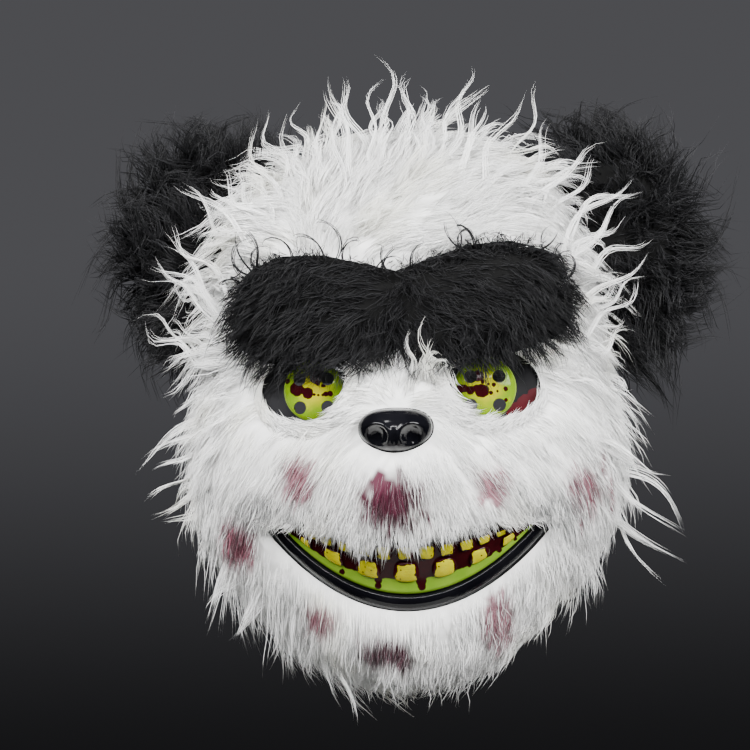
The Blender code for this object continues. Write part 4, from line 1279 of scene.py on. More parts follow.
def strand_mesh(name: str, paths: Array, radius: Array, tints: Array, finish: Material) -> Piece:
    """Closed three-sided strands, each a spindle swept along its path and drawn to a point at both ends,
    with its own cell of the bake map and a tint at every point.

    Args:
        name: the object's name.
        paths: strands x points x 3.
        radius: each strand's thickest radius.
        tints: strands x points x 3 colours.
        finish: the strands' material.

    Returns:
        The object.
    """
    count, steps = paths.shape[:2]
    rings = steps - 2
    along = unit(np.gradient(paths, axis=1))
    share = np.arange(1, steps - 1) / (steps - 1)
    seed = unit(np.cross(along[:, 0], UP + 0.01))
    side = unit(np.cross(along[:, 1:-1], np.cross(seed, along[:, 0])[:, None]))
    lift = np.cross(along[:, 1:-1], side)
    thick = radius[:, None] * (1 - share[None, :] ** 2.2) ** 0.8
    spoke = even_angles(3)
    ring = (
        paths[:, 1:-1, None]
        + side[:, :, None] * (np.cos(spoke)[:, None] * thick[..., None, None])
        + lift[:, :, None] * (np.sin(spoke)[:, None] * thick[..., None, None])
    )
    points = np.concatenate([paths[:, :1], ring.reshape(count, -1, 3), paths[:, -1:]], axis=1)
    each = points.shape[1]
    triangles, spots = [], []
    for s in range(3):
        after = (s + 1) % 3
        left, right = s / 3, (s + 1) / 3
        triangles.append((0, 1 + after, 1 + s))
        spots.append(((left + right) / 2, 0.0, right, share[0], left, share[0]))
        for r in range(rings - 1):
            a, b = 1 + 3 * r + s, 1 + 3 * r + after
            c, d = b + 3, a + 3
            triangles += [(a, b, c), (a, c, d)]
            spots.append((left, share[r], right, share[r], right, share[r + 1]))
            spots.append((left, share[r], right, share[r + 1], left, share[r + 1]))
        a, b = 1 + 3 * (rings - 1) + s, 1 + 3 * (rings - 1) + after
        triangles.append((a, b, each - 1))
        spots.append((left, share[-1], right, share[-1], (left + right) / 2, 1.0))
    faces = (np.array(triangles)[None] + each * np.arange(count)[:, None, None]).reshape(-1)
    mesh = bpy.data.meshes.new(name)
    mesh.vertices.add(count * each)
    mesh.vertices.foreach_set("co", points.astype(np.float32).ravel())
    mesh.loops.add(len(faces))
    mesh.loops.foreach_set("vertex_index", faces.astype(np.int32))
    mesh.polygons.add(len(faces) // 3)
    mesh.polygons.foreach_set("loop_start", np.arange(0, len(faces), 3, dtype=np.int32))
    down = math.ceil(math.sqrt(count / 5))
    across = math.ceil(count / down)
    cell = np.arange(count)
    corner = np.array(spots).reshape(-1, 2) * 0.86 + 0.07
    spread = np.empty((count, len(corner), 2), np.float32)
    spread[..., 0] = ((cell % across)[:, None] + corner[:, 0]) / across
    spread[..., 1] = ((cell // across)[:, None] + corner[:, 1]) / down
    mesh.uv_layers.new(name="OFBake").data.foreach_set("uv", spread.ravel())
    mesh.update(calc_edges=True)
    mesh.shade_smooth()
    made = bpy.data.objects.new(name, mesh)
    bpy.context.scene.collection.objects.link(made)
    ringed = np.repeat(tints[:, 1:-1], 3, axis=1)
    paint(made, "tint", np.concatenate([tints[:, :1], ringed, tints[:, -1:]], axis=1).reshape(-1, 3))
    mesh.materials.append(finish)
    return made


@dataclass
class Growth:
    """Strands gathered from several places, to be made as pieces together."""

    tint: "WhiteTint | BlackTint"
    rng: Random
    groups: list = field(default_factory=list)

    def plant(self, coat: Coat, tufts: Array, normals: Array) -> None:
        """Adds a coat's strands along tufts' paths."""
        self.add(coat, coat.strands_of(tufts, normals, self.rng))

    def add(self, coat: Coat, strands: Array, share: Array | float = 1.0) -> None:
        """Adds strands, cut to a share of their length. What is left of a strand under a fifth is
        dropped."""
        share = np.broadcast_to(share, len(strands))
        kept = share > 0.2
        paths = resampled(strands[kept], share[kept], coat.points)
        radius = coat.radius * self.rng.uniform(0.7, 1.25, len(paths))
        self.groups.append((paths, radius))

    def pieces(self, name: str, finish: Material) -> list[Piece]:
        """A piece for each number of points that its strands have."""
        made = []
        for number, steps in enumerate(sorted({paths.shape[1] for paths, _ in self.groups})):
            chosen = [group for group in self.groups if group[0].shape[1] == steps]
            paths = np.concatenate([paths for paths, _ in chosen])
            radius = np.concatenate([radius for _, radius in chosen])
            tints = self.tint.of(paths, self.rng)
            made.append(strand_mesh(f"{name}_{number + 1}", paths, radius, tints, finish))
        return made


@dataclass
class WhiteTint:
    """Colours of the white fur: a little greyer at the roots as painted shade of the deep pile, a little
    yellower in slow patches, with stains and grey patches of painted shade at the mouth's corners."""

    # Painted shade: the greyer root stands for the shade deep in the pile.
    root: Colour = (0.74, 0.74, 0.725)
    tip: Colour = (0.95, 0.95, 0.94)
    yellowing: Colour = (0.0, -0.006, -0.06)

    def of(self, paths: Array, rng: Random) -> Array:
        """A colour for each point of each strand: greyer at the root as painted shade of the deep pile and
        paler to the tip, yellower or not by its place, a little brighter or duller by strand, and stained,
        with painted shade at the mouth's corners."""
        share = np.linspace(0, 1, paths.shape[1])[None, :, None]
        base = np.array(self.root) + (np.array(self.tip) - self.root) * smooth(share, -0.1, 0.4)
        base = base * (1 + np.array(self.yellowing) * smooth(ripple(paths, 0.05, 61), 0.0, 1.6)[..., None])
        base = base * rng.uniform(0.95, 1.03, (len(paths), 1, 1))
        grain = np.repeat(rng.uniform(0, 1, (len(paths), 1)), paths.shape[1], axis=1)
        return stained_and_shaded(base, paths, grain)


@dataclass
class BlackTint:
    """Colours of the black fur: a soft black, its tips a little greyer."""

    root: Colour = (0.002, 0.002, 0.0024)
    tip: Colour = (0.012, 0.012, 0.013)

    def of(self, paths: Array, rng: Random) -> Array:
        """A colour for each point of each strand."""
        share = np.linspace(0, 1, paths.shape[1])[None, :, None]
        base = np.array(self.root) + (np.array(self.tip) - self.root) * share
        return base * rng.uniform(0.5, 1.7, (len(paths), 1, 1))


@dataclass(frozen=True)
class Wisp:
    """Locks whose shared tip shows in front view: where it is, and how far they wave from side to side."""

    x: float
    z: float
    wave: float = 0.003


FACE_WISPS = (
    Wisp(-0.1185, 0.1125), Wisp(-0.131, 0.08, 0.004), Wisp(-0.136, 0.0725),
    Wisp(-0.1385, 0.045, 0.005), Wisp(-0.131, 0.0325, 0.004), Wisp(-0.118, 0.062, 0.004),
    Wisp(-0.112, 0.018), Wisp(0.099, 0.13), Wisp(0.119, 0.1025, 0.004),
    Wisp(0.114, 0.095, 0.004), Wisp(0.1315, 0.075), Wisp(0.122, 0.052, 0.004),
    Wisp(0.117, 0.03), Wisp(-0.1405, -0.033), Wisp(-0.1315, -0.0405),
    Wisp(-0.135, -0.06), Wisp(-0.124, -0.064), Wisp(-0.117, -0.0715),
    Wisp(0.132, -0.044), Wisp(0.1475, -0.0735), Wisp(0.139, -0.0895),
    Wisp(-0.1095, -0.12), Wisp(-0.0975, -0.12), Wisp(-0.088, -0.134),
    Wisp(-0.0715, -0.1525), Wisp(-0.0335, -0.16), Wisp(0.059, -0.135, 0.002),
    Wisp(-0.0955, 0.119, 0.004), Wisp(-0.09, 0.127, 0.005), Wisp(-0.099, 0.106, 0.005),
    Wisp(-0.075, 0.145, 0.006), Wisp(-0.06, 0.15, 0.005), Wisp(-0.041, 0.158, 0.004),
    Wisp(-0.0285, 0.168, 0.004), Wisp(-0.01, 0.172, 0.005), Wisp(0.006, 0.16, 0.004),
    Wisp(0.024, 0.17, 0.004), Wisp(0.04, 0.154), Wisp(0.074, 0.1575),
)


# How long the outline's locks are, as a share, by their turn in degrees from the right.
SHAG_BY_TURN = (
    (-158, 0.85), (-145, 1.05), (-124, 0.75), (-90, 0.52), (-60, 0.42),
    (-43, 0.42), (-30, 0.85), (-18, 0.85), (0, 0.62), (30, 0.9),
    (60, 1.05), (95, 1.0), (125, 1.2), (155, 0.85), (180, 0.58),
)


@dataclass(frozen=True)
class WispKind:
    """How the locks of a wisp are made: their coat, how many there are, how often each waves, and how
    much further up round the face they are rooted than their tip, in radians."""

    coat: Coat
    locks: int
    waves: float
    climb: float


@dataclass(frozen=True)
class Band:
    """A band of the face and its tufts: from one tilt to another in degrees, with the tufts' length and
    the angle that they stand off the face at its middle and at its rim, the shares that a tuft's own
    length varies between, and the heights that it keeps to."""

    tufts: int
    first: float
    last: float
    lengths: tuple[float, float]
    stands: tuple[float, float]
    varied: tuple[float, float]
    heights: tuple[float, float]


@dataclass
class FaceFur:
    """The white fur of the face: a soft backing and combed tufts over it."""

    backing: float = 0.006
    parting: float = -0.045
    sweep_height: float = 0.092
    sweep_spread: float = 0.026
    short_fur: Coat = Coat(12, 4, 0.00021, 0.005, 0.4, 0.0014, 0.6, 0.001, 1.0)
    lock_fur: Coat = Coat(13, 7, 0.00021, 0.0044, 0.93, 0.0011, 0.5, 0.004, 1.4)
    soft_fur: Coat = Coat(14, 5, 0.00019, 0.006, 0.55, 0.003, 0.35, 0.0022, 1.1)
    wavy_wisps: WispKind = WispKind(Coat(11, 10, 0.00021, 0.0023, 0.88, 0.0009, 0.55), 3, 1.35, 0.0)
    hanging_wisps: WispKind = WispKind(Coat(15, 7, 0.00021, 0.0032, 0.95, 0.0009, 0.4), 2, 0.55, 0.13)
    fringe_fur: Coat = Coat(12, 5, 0.0002, 0.0042, 0.72, 0.0012, 0.6, 0.0006, 1.0)
    short_band: Band = Band(2080, 0, 90, (0.026, 0.025), (6, 20), (0.75, 1.2), (-1.0, 1.0))
    lock_band: Band = Band(190, 52, 90, (0.03, 0.038), (16, 44), (0.55, 1.4), (0.005, 1.0))
    soft_band: Band = Band(230, 58, 90, (0.03, 0.036), (12, 36), (0.65, 1.3), (-1.0, 0.005))
    collar_tufts: int = 66
    collar_cover: dict = field(default_factory=lambda: {Side.LEFT: 0.28, Side.RIGHT: 0.46})
    fringe_tufts: int = 120
    corner_tufts: int = 20
    # The curls between the eyes: each one's place across, rise, lean and coil.
    bridge_curls: tuple[tuple[float, ...], ...] = (
        (0.009, 0.022, -0.004, 0.0016),
        (0.011, 0.027, 0.001, 0.0022),
        (0.013, 0.02, 0.003, 0.0034),
        (0.016, 0.017, 0.007, -0.003),
        (0.018, 0.01, 0.011, -0.0036),
    )

    def comb(self, points: Array) -> Array:
        """The way the fur is combed: away from the nose, swept to both sides of a parting over the
        forehead, hanging more and more down the face, and swirled by slow noise.

        Args:
            points: places on the face.

        Returns:
            A unit vector along the face at each.
        """
        x, z = points[..., 0], points[..., 2]
        away = unit(np.stack([x, 0 * x, z - NOSE.height], axis=-1))
        aside = x - self.parting
        arch = unit(np.stack([np.tanh(aside / 0.02), 0 * x, 0.5 - 4.0 * np.abs(aside)], axis=-1))
        sweep = 0.85 * np.exp(-(((z - self.sweep_height) / self.sweep_spread) ** 2))[..., None]
        hang = 0.75 * np.clip(1 - (z + 0.02) / 0.09, 0, 1)
        heading = unit(away * (1 - sweep) + arch * sweep - hang[..., None] * UP)
        ray = unit(points - FACE.centre)
        calm = 0.4 + 0.6 * smooth(z, -0.02, 0.05)
        swirl = 0.38 * ripple(points, 0.08, 11) + 0.16 * ripple(points, 0.03, 12)
        return turned_about(laid_flat(heading, ray), ray, swirl * calm)

    def clearances(self, points: Array) -> dict[str, Array]:
        """How far places seen from the front are outside each opening of the fur. For the mouth it is
        the gap above or below its arcs.

        Args:
            points: the places.

        Returns:
            The distances by opening, below zero inside one.
        """
        x, z = points[..., 0], points[..., 2]
        eyes = [np.hypot(*FACE.opening_place(x, z, side)) for side in Side]
        across = np.abs(x / NOSE.half_width)
        up = np.abs((z - NOSE.height) / NOSE.half_height)
        inside = np.abs(x - MOUTH.shift) < MOUTH.half_width
        below = MOUTH.height(x, 0.0, Row.LOWER) - z
        above = z - MOUTH.height(x, 0.0, Row.UPPER)
        return {
            "brow": BROW.outside_by(x, z),
            "eyes": (np.minimum(*eyes) - 1) * FACE.opening_half_height,
            "nose": ((across**2.2 + up**2.2) ** (1 / 2.2) - 1) * NOSE.half_height,
            "mouth": np.where(inside, np.maximum(below, above), 0.02),
        }

    def overhang(self, x: Array) -> Array:
        """How far the fur hangs over the mouth from above: furthest a little left of its middle."""
        middle = 0.01 * np.exp(-(((x + 0.01) / 0.022) ** 2))
        return 0.0105 + middle - 0.005 * smooth(np.abs(x), 0.03, 0.06)

    def blocked(self, paths: Array, rng: Random) -> Array:
        """Where strands would cover an eye, the nose, the mouth or the brow patch, each strand with its
        own small overhang.

        Args:
            paths: strands x points x 3.
            rng: the random numbers.

        Returns:
            True for each point that may not be there.
        """
        clear = self.clearances(paths)
        own = rng.uniform(0, 1, (len(paths), 1))
        hem = MOUTH.height(paths[..., 0], 0.0, Row.UPPER) - self.overhang(paths[..., 0]) * own**0.5
        return (
            (clear["eyes"] < -0.0035 * own)
            | (clear["nose"] < -0.002 * own)
            | ((clear["mouth"] < -0.0008 * own) & (paths[..., 2] < hem))
            | (clear["brow"] < -0.004 * own)
        )

    def backing_mesh(self, finish: Material) -> Piece:
        """The dense fur next to the skin: a wall that sinks towards its openings, roughened by noise and
        cut through at each of them."""
        turns, tilts = 160, 54
        tilt = np.linspace(0, math.pi / 2, tilts + 1)[1:, None]
        places = FACE.point(even_angles(turns), tilt, self.backing)
        near = np.minimum.reduce(list(self.clearances(places).values()))
        high = self.backing * (0.35 + 0.65 * smooth(near, 0.0, 0.01))
        high = high + 0.0008 * ripple(places, 0.014, 21) * smooth(near, 0.002, 0.01)
        wall = face_wall("fur_backing", FACE.seat_gap, np.maximum(high, 0.0016), turns, tilts)
        carve(wall, "DIFFERENCE", [prism(self.grown(outline, FACE.cut_gap)) for outline in self.openings()])
        places = vertices_of(wall)
        # Painted shade: the backing is a greyer white than the strands' tips, for the shade deep in the pile,
        # with a little random tone.
        shade = 0.8 + 0.05 * ripple(places, 0.006, 31)[:, None]
        paint(wall, "tint", stained_and_shaded(shade * np.array([1.0, 1.0, 0.985]), places, np.full(len(places), 0.5)))
        dress(wall, finish)
        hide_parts("face_fur")
        return wall

    def openings(self) -> list[Array]:
        """Outlines of the eyes', nose's, mouth's and brow patch's openings."""
        angle = even_angles(96)
        sizes = (FACE.eye_height, FACE.opening_half_width, FACE.opening_half_height)
        eyes = [oval(side.value * FACE.opening_spread, *sizes) for side in Side]
        mouth = np.stack(MOUTH.curve(angle), axis=-1)
        return [*eyes, NOSE.outline(angle) + (0, NOSE.height), mouth, BROW.corners()]

    def grown(self, outline: Array, by: float) -> Array:
        """An outline moved outwards along its normals."""
        along = unit(np.roll(outline, -1, axis=0) - np.roll(outline, 1, axis=0))
        return outline + by * np.stack([along[:, 1], -along[:, 0]], axis=-1)

    def combed(self, turn: Array, tilt: Array, length: Array, stand: Array, droop: Array) -> Array:
        """Tufts' paths: each step goes the combed way over the face and rises off it by its stand, and
        the tip droops.

        Args:
            turn: each root's turn.
            tilt: each root's tilt.
            length: each tuft's length.
            stand: the angle that each stands off the face.
            droop: how far each tip sinks, as a share of its length.

        Returns:
            Tufts x 8 x 3 paths.
        """
        steps = 8
        place = FACE.point(turn, tilt, self.backing)
        path = [place]
        step = (length * np.cos(stand) / (steps - 1))[:, None]
        for k in range(1, steps):
            new_turn, new_tilt = FACE.angles(place + self.comb(place) * step)
            rise = self.backing + length * np.sin(stand) * (k / (steps - 1)) ** 0.8
            place = FACE.point(new_turn, np.minimum(new_tilt, math.radians(97)), rise)
            path.append(place)
        made = np.stack(path, axis=1)
        share = np.linspace(0, 1, steps)[None, :, None]
        return made - UP * (droop * length)[:, None, None] * share**2

    def shag(self, turn: Array) -> Array:
        """How long the fur is for its place round the rim: shaggy over the forehead, shorter beside the
        eyes, and lying flat along the jaw."""
        return np.interp(np.degrees(turn), *zip(*SHAG_BY_TURN), period=360)

    def grow(self, coat: Coat, band: Band, seed: int) -> tuple[Array, Array]:
        """Strands over a band of the face.

        Args:
            coat: their kind.
            band: where they are, and their tufts' lengths and stands.
            seed: the random numbers' seed.

        Returns:
            Strands' paths, and the share of each that is clear of the openings.
        """
        rng = np.random.default_rng(seed)
        turn, tilt = FACE.scattered(int(band.tufts * 2.8), math.radians(band.last), rng)
        root = FACE.point(turn, tilt, self.backing)
        clear = self.clearances(root)
        kept = (
            (tilt > math.radians(band.first))
            & (root[:, 2] > band.heights[0])
            & (root[:, 2] < band.heights[1])
            & (clear["brow"] > -0.0005)
            & (clear["eyes"] > 0)
            & (clear["nose"] > 0)
            & (clear["mouth"] > 0)
        )
        kept = np.flatnonzero(kept)[: band.tufts]
        turn, tilt, root = turn[kept], tilt[kept], root[kept]
        out = smooth(tilt, math.radians(25), math.radians(88))
        low, high = band.lengths
        length = (low + (high - low) * out) * rng.uniform(*band.varied, len(turn))
        length = length * (0.55 + 0.45 * smooth(clear["eyes"][kept], 0.0, 0.02))
        shag = 1 + (self.shag(turn) - 1) * out
        length = length * shag
        low, high = band.stands
        stand = np.radians(low + (high - low) * out * np.minimum(shag, 1))
        path = self.combed(turn, tilt, length, stand * rng.uniform(0.6, 1.3, len(turn)), 0.04 + 0.1 * out)
        strands = coat.strands_of(path, unit(root - FACE.centre), rng)
        return strands, clear_share(self.blocked(strands, rng))

    def wisps(self, growth: Growth) -> None:
        """The long locks that stand out of the fur's outline: wavy ones above, and on the cheeks and chin
        straighter ones that hang from higher up and narrow to a point. Each is a straight line from its
        root to near its wisp's tip, with a sine wave and a bow to one side and a sag."""
        rng = growth.rng
        share = np.linspace(0, 1, 12)[:, None]
        for wisp in FACE_WISPS:
            kind = self.hanging_wisps if wisp.z < 0 else self.wavy_wisps
            for _ in range(kind.locks):
                toward = math.atan2(wisp.z - FACE.centre[2], wisp.x) + rng.uniform(-0.07, 0.07)
                toward += math.copysign(kind.climb, wisp.x)
                root = FACE.point(np.array(toward), np.array(math.radians(rng.uniform(66, 82))), 0.006)
                tip = np.array([wisp.x, rng.uniform(-0.03, -0.008), wisp.z])
                tip = tip - (tip - root) * rng.uniform(-0.03, 0.2) + rng.normal(size=3) * 0.004
                across = unit(np.cross(tip - root, FORWARD))
                angle = 2 * math.pi * kind.waves * rng.uniform(0.75, 1.25) * share
                angle = angle + rng.uniform(0, 2 * math.pi)
                wave = 1.15 * wisp.wave * (np.sin(angle) - np.sin(angle[0])) * share**0.5
                bow = rng.uniform(-0.12, 0.12) * np.linalg.norm(tip - root) * np.sin(math.pi * share)
                hang = 0.22 * abs(tip[0] - root[0]) * (share - share**2)
                path = root + (tip - root) * share + across * (wave + bow) + FORWARD * 0.4 * wave + UP * hang
                growth.plant(kind.coat, path[None], unit(root - FACE.centre)[None])

    def collars(self, growth: Growth) -> None:
        """Tufts laid along the lower edge of each eye's opening, from its inner side outwards, that close
        over the opening's rim."""
        rng = growth.rng
        share = np.linspace(0, 1, 8)
        for side, cover in self.collar_cover.items():
            start = rng.uniform(-0.5, 2.7, self.collar_tufts)[:, None]
            angle = start + rng.uniform(0.5, 1.0, start.shape) * share
            close = cover * rng.uniform(0.3, 1.0, start.shape) * smooth(2.9 - angle, -0.2, 1.3)
            scale = 1.16 - close * share**0.8 - 0.1 * share
            x = side.value * (FACE.opening_spread - FACE.opening_half_width * scale * np.cos(angle))
            z = FACE.eye_height - FACE.opening_half_height * scale * np.sin(angle)
            path = FACE.on_face(x, z, 0.0058 + 0.003 * share)
            growth.plant(self.fringe_fur, path, unit(path[:, 0] - FACE.centre))

    def fringe(self, growth: Growth) -> None:
        """Locks that hang from the mouth's upper edge over its upper teeth."""
        rng = growth.rng
        each = (self.fringe_tufts, 1)
        share = np.linspace(0, 1, 8)
        angle = np.radians(rng.uniform(14, 166, each))
        x, z = MOUTH.curve(angle, -rng.uniform(0.002, 0.009, each))
        hem = MOUTH.height(x, 0.0, Row.UPPER) - self.overhang(x) * rng.uniform(0.45, 1.05, each)
        drift = 0.1 * (x - MOUTH.shift) + rng.normal(size=each) * 0.0015
        path = FACE.on_face(x + drift * share, z + (hem - z) * share, 0.0062 + 0.0022 * share)
        growth.plant(self.fringe_fur, path, unit(path[:, 0] - FACE.centre))

    def corners(self, growth: Growth) -> None:
        """Loose tufts that fall over both ends of the lip."""
        rng = growth.rng
        each = (self.corner_tufts, 1)
        share = np.linspace(0, 1, 8)
        for side in Side:
            out = rng.uniform(-0.012, 0.006, each)
            x = MOUTH.shift + side.value * (MOUTH.half_width + out)
            z = MOUTH.corner_height + rng.uniform(0.004, 0.012, each)
            drift = side.value * rng.uniform(-0.004, 0.009, each)
            fall = rng.uniform(0.01, 0.019, each)
            path = FACE.on_face(x + drift * share, z - fall * share, 0.0066 + 0.0022 * share)
            growth.plant(self.fringe_fur, path, unit(path[:, 0] - FACE.centre))

    def bridge_tuft(self, growth: Growth) -> None:
        """The curly white tuft that rises from between the eyes over the brow patch's edge: each curl
        winds round a rising line, wider towards its tip."""
        share = np.linspace(0, 1, 12)[:, None]
        for x, rise, lean, coil in self.bridge_curls:
            root = FACE.on_face(np.array(x), np.array(0.004), 0.007)
            angle = 2 * math.pi * self.wavy_wisps.waves * share**1.3
            loop = coil * np.hstack([1 - np.cos(angle), 0.3 * np.sin(angle), np.sin(angle)]) * (0.3 + share)
            path = root + np.array([lean, -0.011, rise]) * share + loop
            growth.plant(self.wavy_wisps.coat, path[None], FORWARD[None])

    def build(self) -> list[Piece]:
        """The backing and every piece of fur on it."""
        finish = WHITE_FUR.material()
        made = [self.backing_mesh(finish)]
        strands, share = self.grow(self.short_fur, self.short_band, 1)
        root = strands[:, 0]
        parts = {
            "fur_forehead": root[:, 2] > 0.02,
            "fur_cheek_left": (root[:, 2] <= 0.02) & (root[:, 0] < 0),
            "fur_cheek_right": (root[:, 2] <= 0.02) & (root[:, 0] >= 0),
        }
        for number, (name, chosen) in enumerate(parts.items()):
            growth = Growth(WhiteTint(), np.random.default_rng(20 + number))
            growth.add(self.short_fur, strands[chosen], share[chosen])
            made += growth.pieces(name, finish)
        growth = Growth(WhiteTint(), np.random.default_rng(4))
        growth.add(self.lock_fur, *self.grow(self.lock_fur, self.lock_band, 3))
        growth.add(self.soft_fur, *self.grow(self.soft_fur, self.soft_band, 8))
        self.wisps(growth)
        self.collars(growth)
        self.fringe(growth)
        self.corners(growth)
        self.bridge_tuft(growth)
        return made + growth.pieces("fur_locks", finish)


@dataclass
class BrowPatch:
    """The black brow patch: a plump backing and loose fur that hangs over the eyes, with a few long
    curls along its top."""

    backing: float = 0.01
    backing_edge: float = 0.003
    last_tilt: float = math.radians(80)
    tufts: int = 650
    hem_tufts: int = 170
    curls: int = 36
    fur: Coat = Coat(9, 5, 0.00023, 0.0048, 0.7, 0.002, 0.5, 0.0024, 1.3)
    hem_fur: Coat = Coat(8, 5, 0.00019, 0.0036, 0.2, 0.0016, 0.4, 0.001, 1.0)
    curl: Coat = Coat(3, 12, 0.00032, 0.0008, 0.6, 0.0008, 0.7)

    def wall(self) -> Piece:
        """The backing: a wall with the patch's outline that is thinner at its edge."""
        turns, tilts = 160, 46
        tilt = np.linspace(0, self.last_tilt, tilts + 1)[1:, None]
        places = FACE.point(even_angles(turns), tilt, self.backing)
        inside = -BROW.outside_by(places[..., 0], places[..., 2])
        high = self.backing_edge + (self.backing - self.backing_edge) * smooth(inside, -0.001, 0.01)
        high = high + 0.0006 * ripple(places, 0.012, 41)
        wall = face_wall("brow_backing", FACE.seat_gap, high, turns, tilts, self.last_tilt)
        carve(wall, "INTERSECT", [prism(BROW.rounded())])
        carve(wall, "DIFFERENCE", [EyeForm(side).room() for side in Side])
        paint(wall, "tint", BACKING_BLACK)
        dress(wall, DULL_BLACK.material())
        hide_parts("brow_fur")
        return wall

    def pile(self, growth: Growth) -> None:
        """The fur all over the patch: combed outwards to both sides and down, and swirled."""
        rng = growth.rng
        turn, tilt = FACE.scattered(9000, self.last_tilt, rng)
        root = FACE.point(turn, tilt, self.backing - 0.001)
        root = root[BROW.outside_by(root[:, 0], root[:, 2]) < -0.001]
        root = root[spaced(root, self.tufts)]
        middle = BROW.top * 0.7
        up = (root[:, 2] - middle) / (0.6 * middle)
        heading = np.stack([np.tanh(root[:, 0] / 0.02) * 0.8, 0 * up, up - 0.15], axis=-1)
        ray = unit(root - FACE.centre)
        swirl = 0.6 * ripple(root, 0.04, 43) + 0.5 * rng.normal(size=len(root))
        heading = turned_about(laid_flat(heading, ray), ray, swirl)
        edge = smooth(BROW.outside_by(root[:, 0], root[:, 2]), -0.016, 0.0)
        stand = (0.3 - 0.1 * edge) * rng.uniform(0.5, 1.4, len(root))
        length = 0.02 * rng.uniform(0.7, 1.3, len(root)) * (1 - 0.3 * edge * (up > 0))
        share = np.linspace(0, 1, 8)[None, :, None]
        aim = unit(heading + ray * stand[:, None])
        path = root[:, None] + length[:, None, None] * (
            aim[:, None] * share - (0.16 * ray[:, None] + 0.14 * UP) * share**2
        )
        growth.plant(self.fur, path, ray)

    def hem(self, growth: Growth) -> None:
        """Short tufts all round the patch's edge, pointing outwards and down, which soften it."""
        rng = growth.rng
        outline = self.along(rng.uniform(0, 1, self.hem_tufts))
        place, out = outline[:, :2], outline[:, 2:]
        place = place - out * rng.uniform(0.0005, 0.004, (self.hem_tufts, 1))
        root = FACE.on_face(place[:, 0], place[:, 1], self.backing - 0.003)
        low = smooth(-out[:, 1], -0.2, 0.6)
        length = (0.008 + 0.0045 * low) * rng.uniform(0.6, 1.3, self.hem_tufts)
        aim = np.stack([out[:, 0], -0.25 * np.ones(len(out)), out[:, 1]], axis=-1)
        aim = unit(aim + 0.35 * rng.normal(size=aim.shape))
        share = np.linspace(0, 1, 8)[None, :, None]
        path = root[:, None] + length[:, None, None] * (aim[:, None] * share - 0.25 * UP * share**2)
        growth.plant(self.hem_fur, path, unit(root - FACE.centre))

    def along(self, share: Array) -> Array:
        """Places round the patch's outline and their outward directions, seen from the front."""
        outline = BROW.rounded()
        place = share * len(outline)
        low = place.astype(int) % len(outline)
        part = (place % 1)[:, None]
        after = np.roll(outline, -1, axis=0)
        edge = unit(after - outline)[low]
        return np.hstack([outline[low] * (1 - part) + after[low] * part, edge[:, 1:], -edge[:, :1]])

    def stray_curls(self, growth: Growth) -> None:
        """Long thin curls that stand out of the patch's upper edge."""
        rng = growth.rng
        share = np.linspace(0, 1, 16)[:, None]
        outline = self.along(rng.uniform(0, 1, 12 * self.curls))
        upper = outline[outline[:, 3] > 0.3][: self.curls]
        for x, z, *_ in upper:
            root = FACE.on_face(np.array(x), np.array(z - 0.003), self.backing)
            ring = rng.uniform(0.003, 0.007)
            start = rng.uniform(0, 2 * math.pi)
            angle = start + 2 * math.pi * rng.uniform(0.6, 1.2) * share * rng.choice([-1, 1])
            loop = np.hstack([np.cos(angle) - np.cos(angle[0]), 0 * angle, np.sin(angle) - np.sin(angle[0])])
            reach = np.array([rng.uniform(-0.012, 0.012), -0.003, rng.uniform(0.004, 0.023)])
            path = root + reach * share + ring * loop * share**0.5
            growth.plant(self.curl, path[None], FORWARD[None])

    def build(self) -> list[Piece]:
        """The backing and the fur on it."""
        growth = Growth(BlackTint(), np.random.default_rng(6))
        self.pile(growth)
        self.hem(growth)
        self.stray_curls(growth)
        return [self.wall(), *growth.pieces("brow_strands", BLACK_FUR.material())]


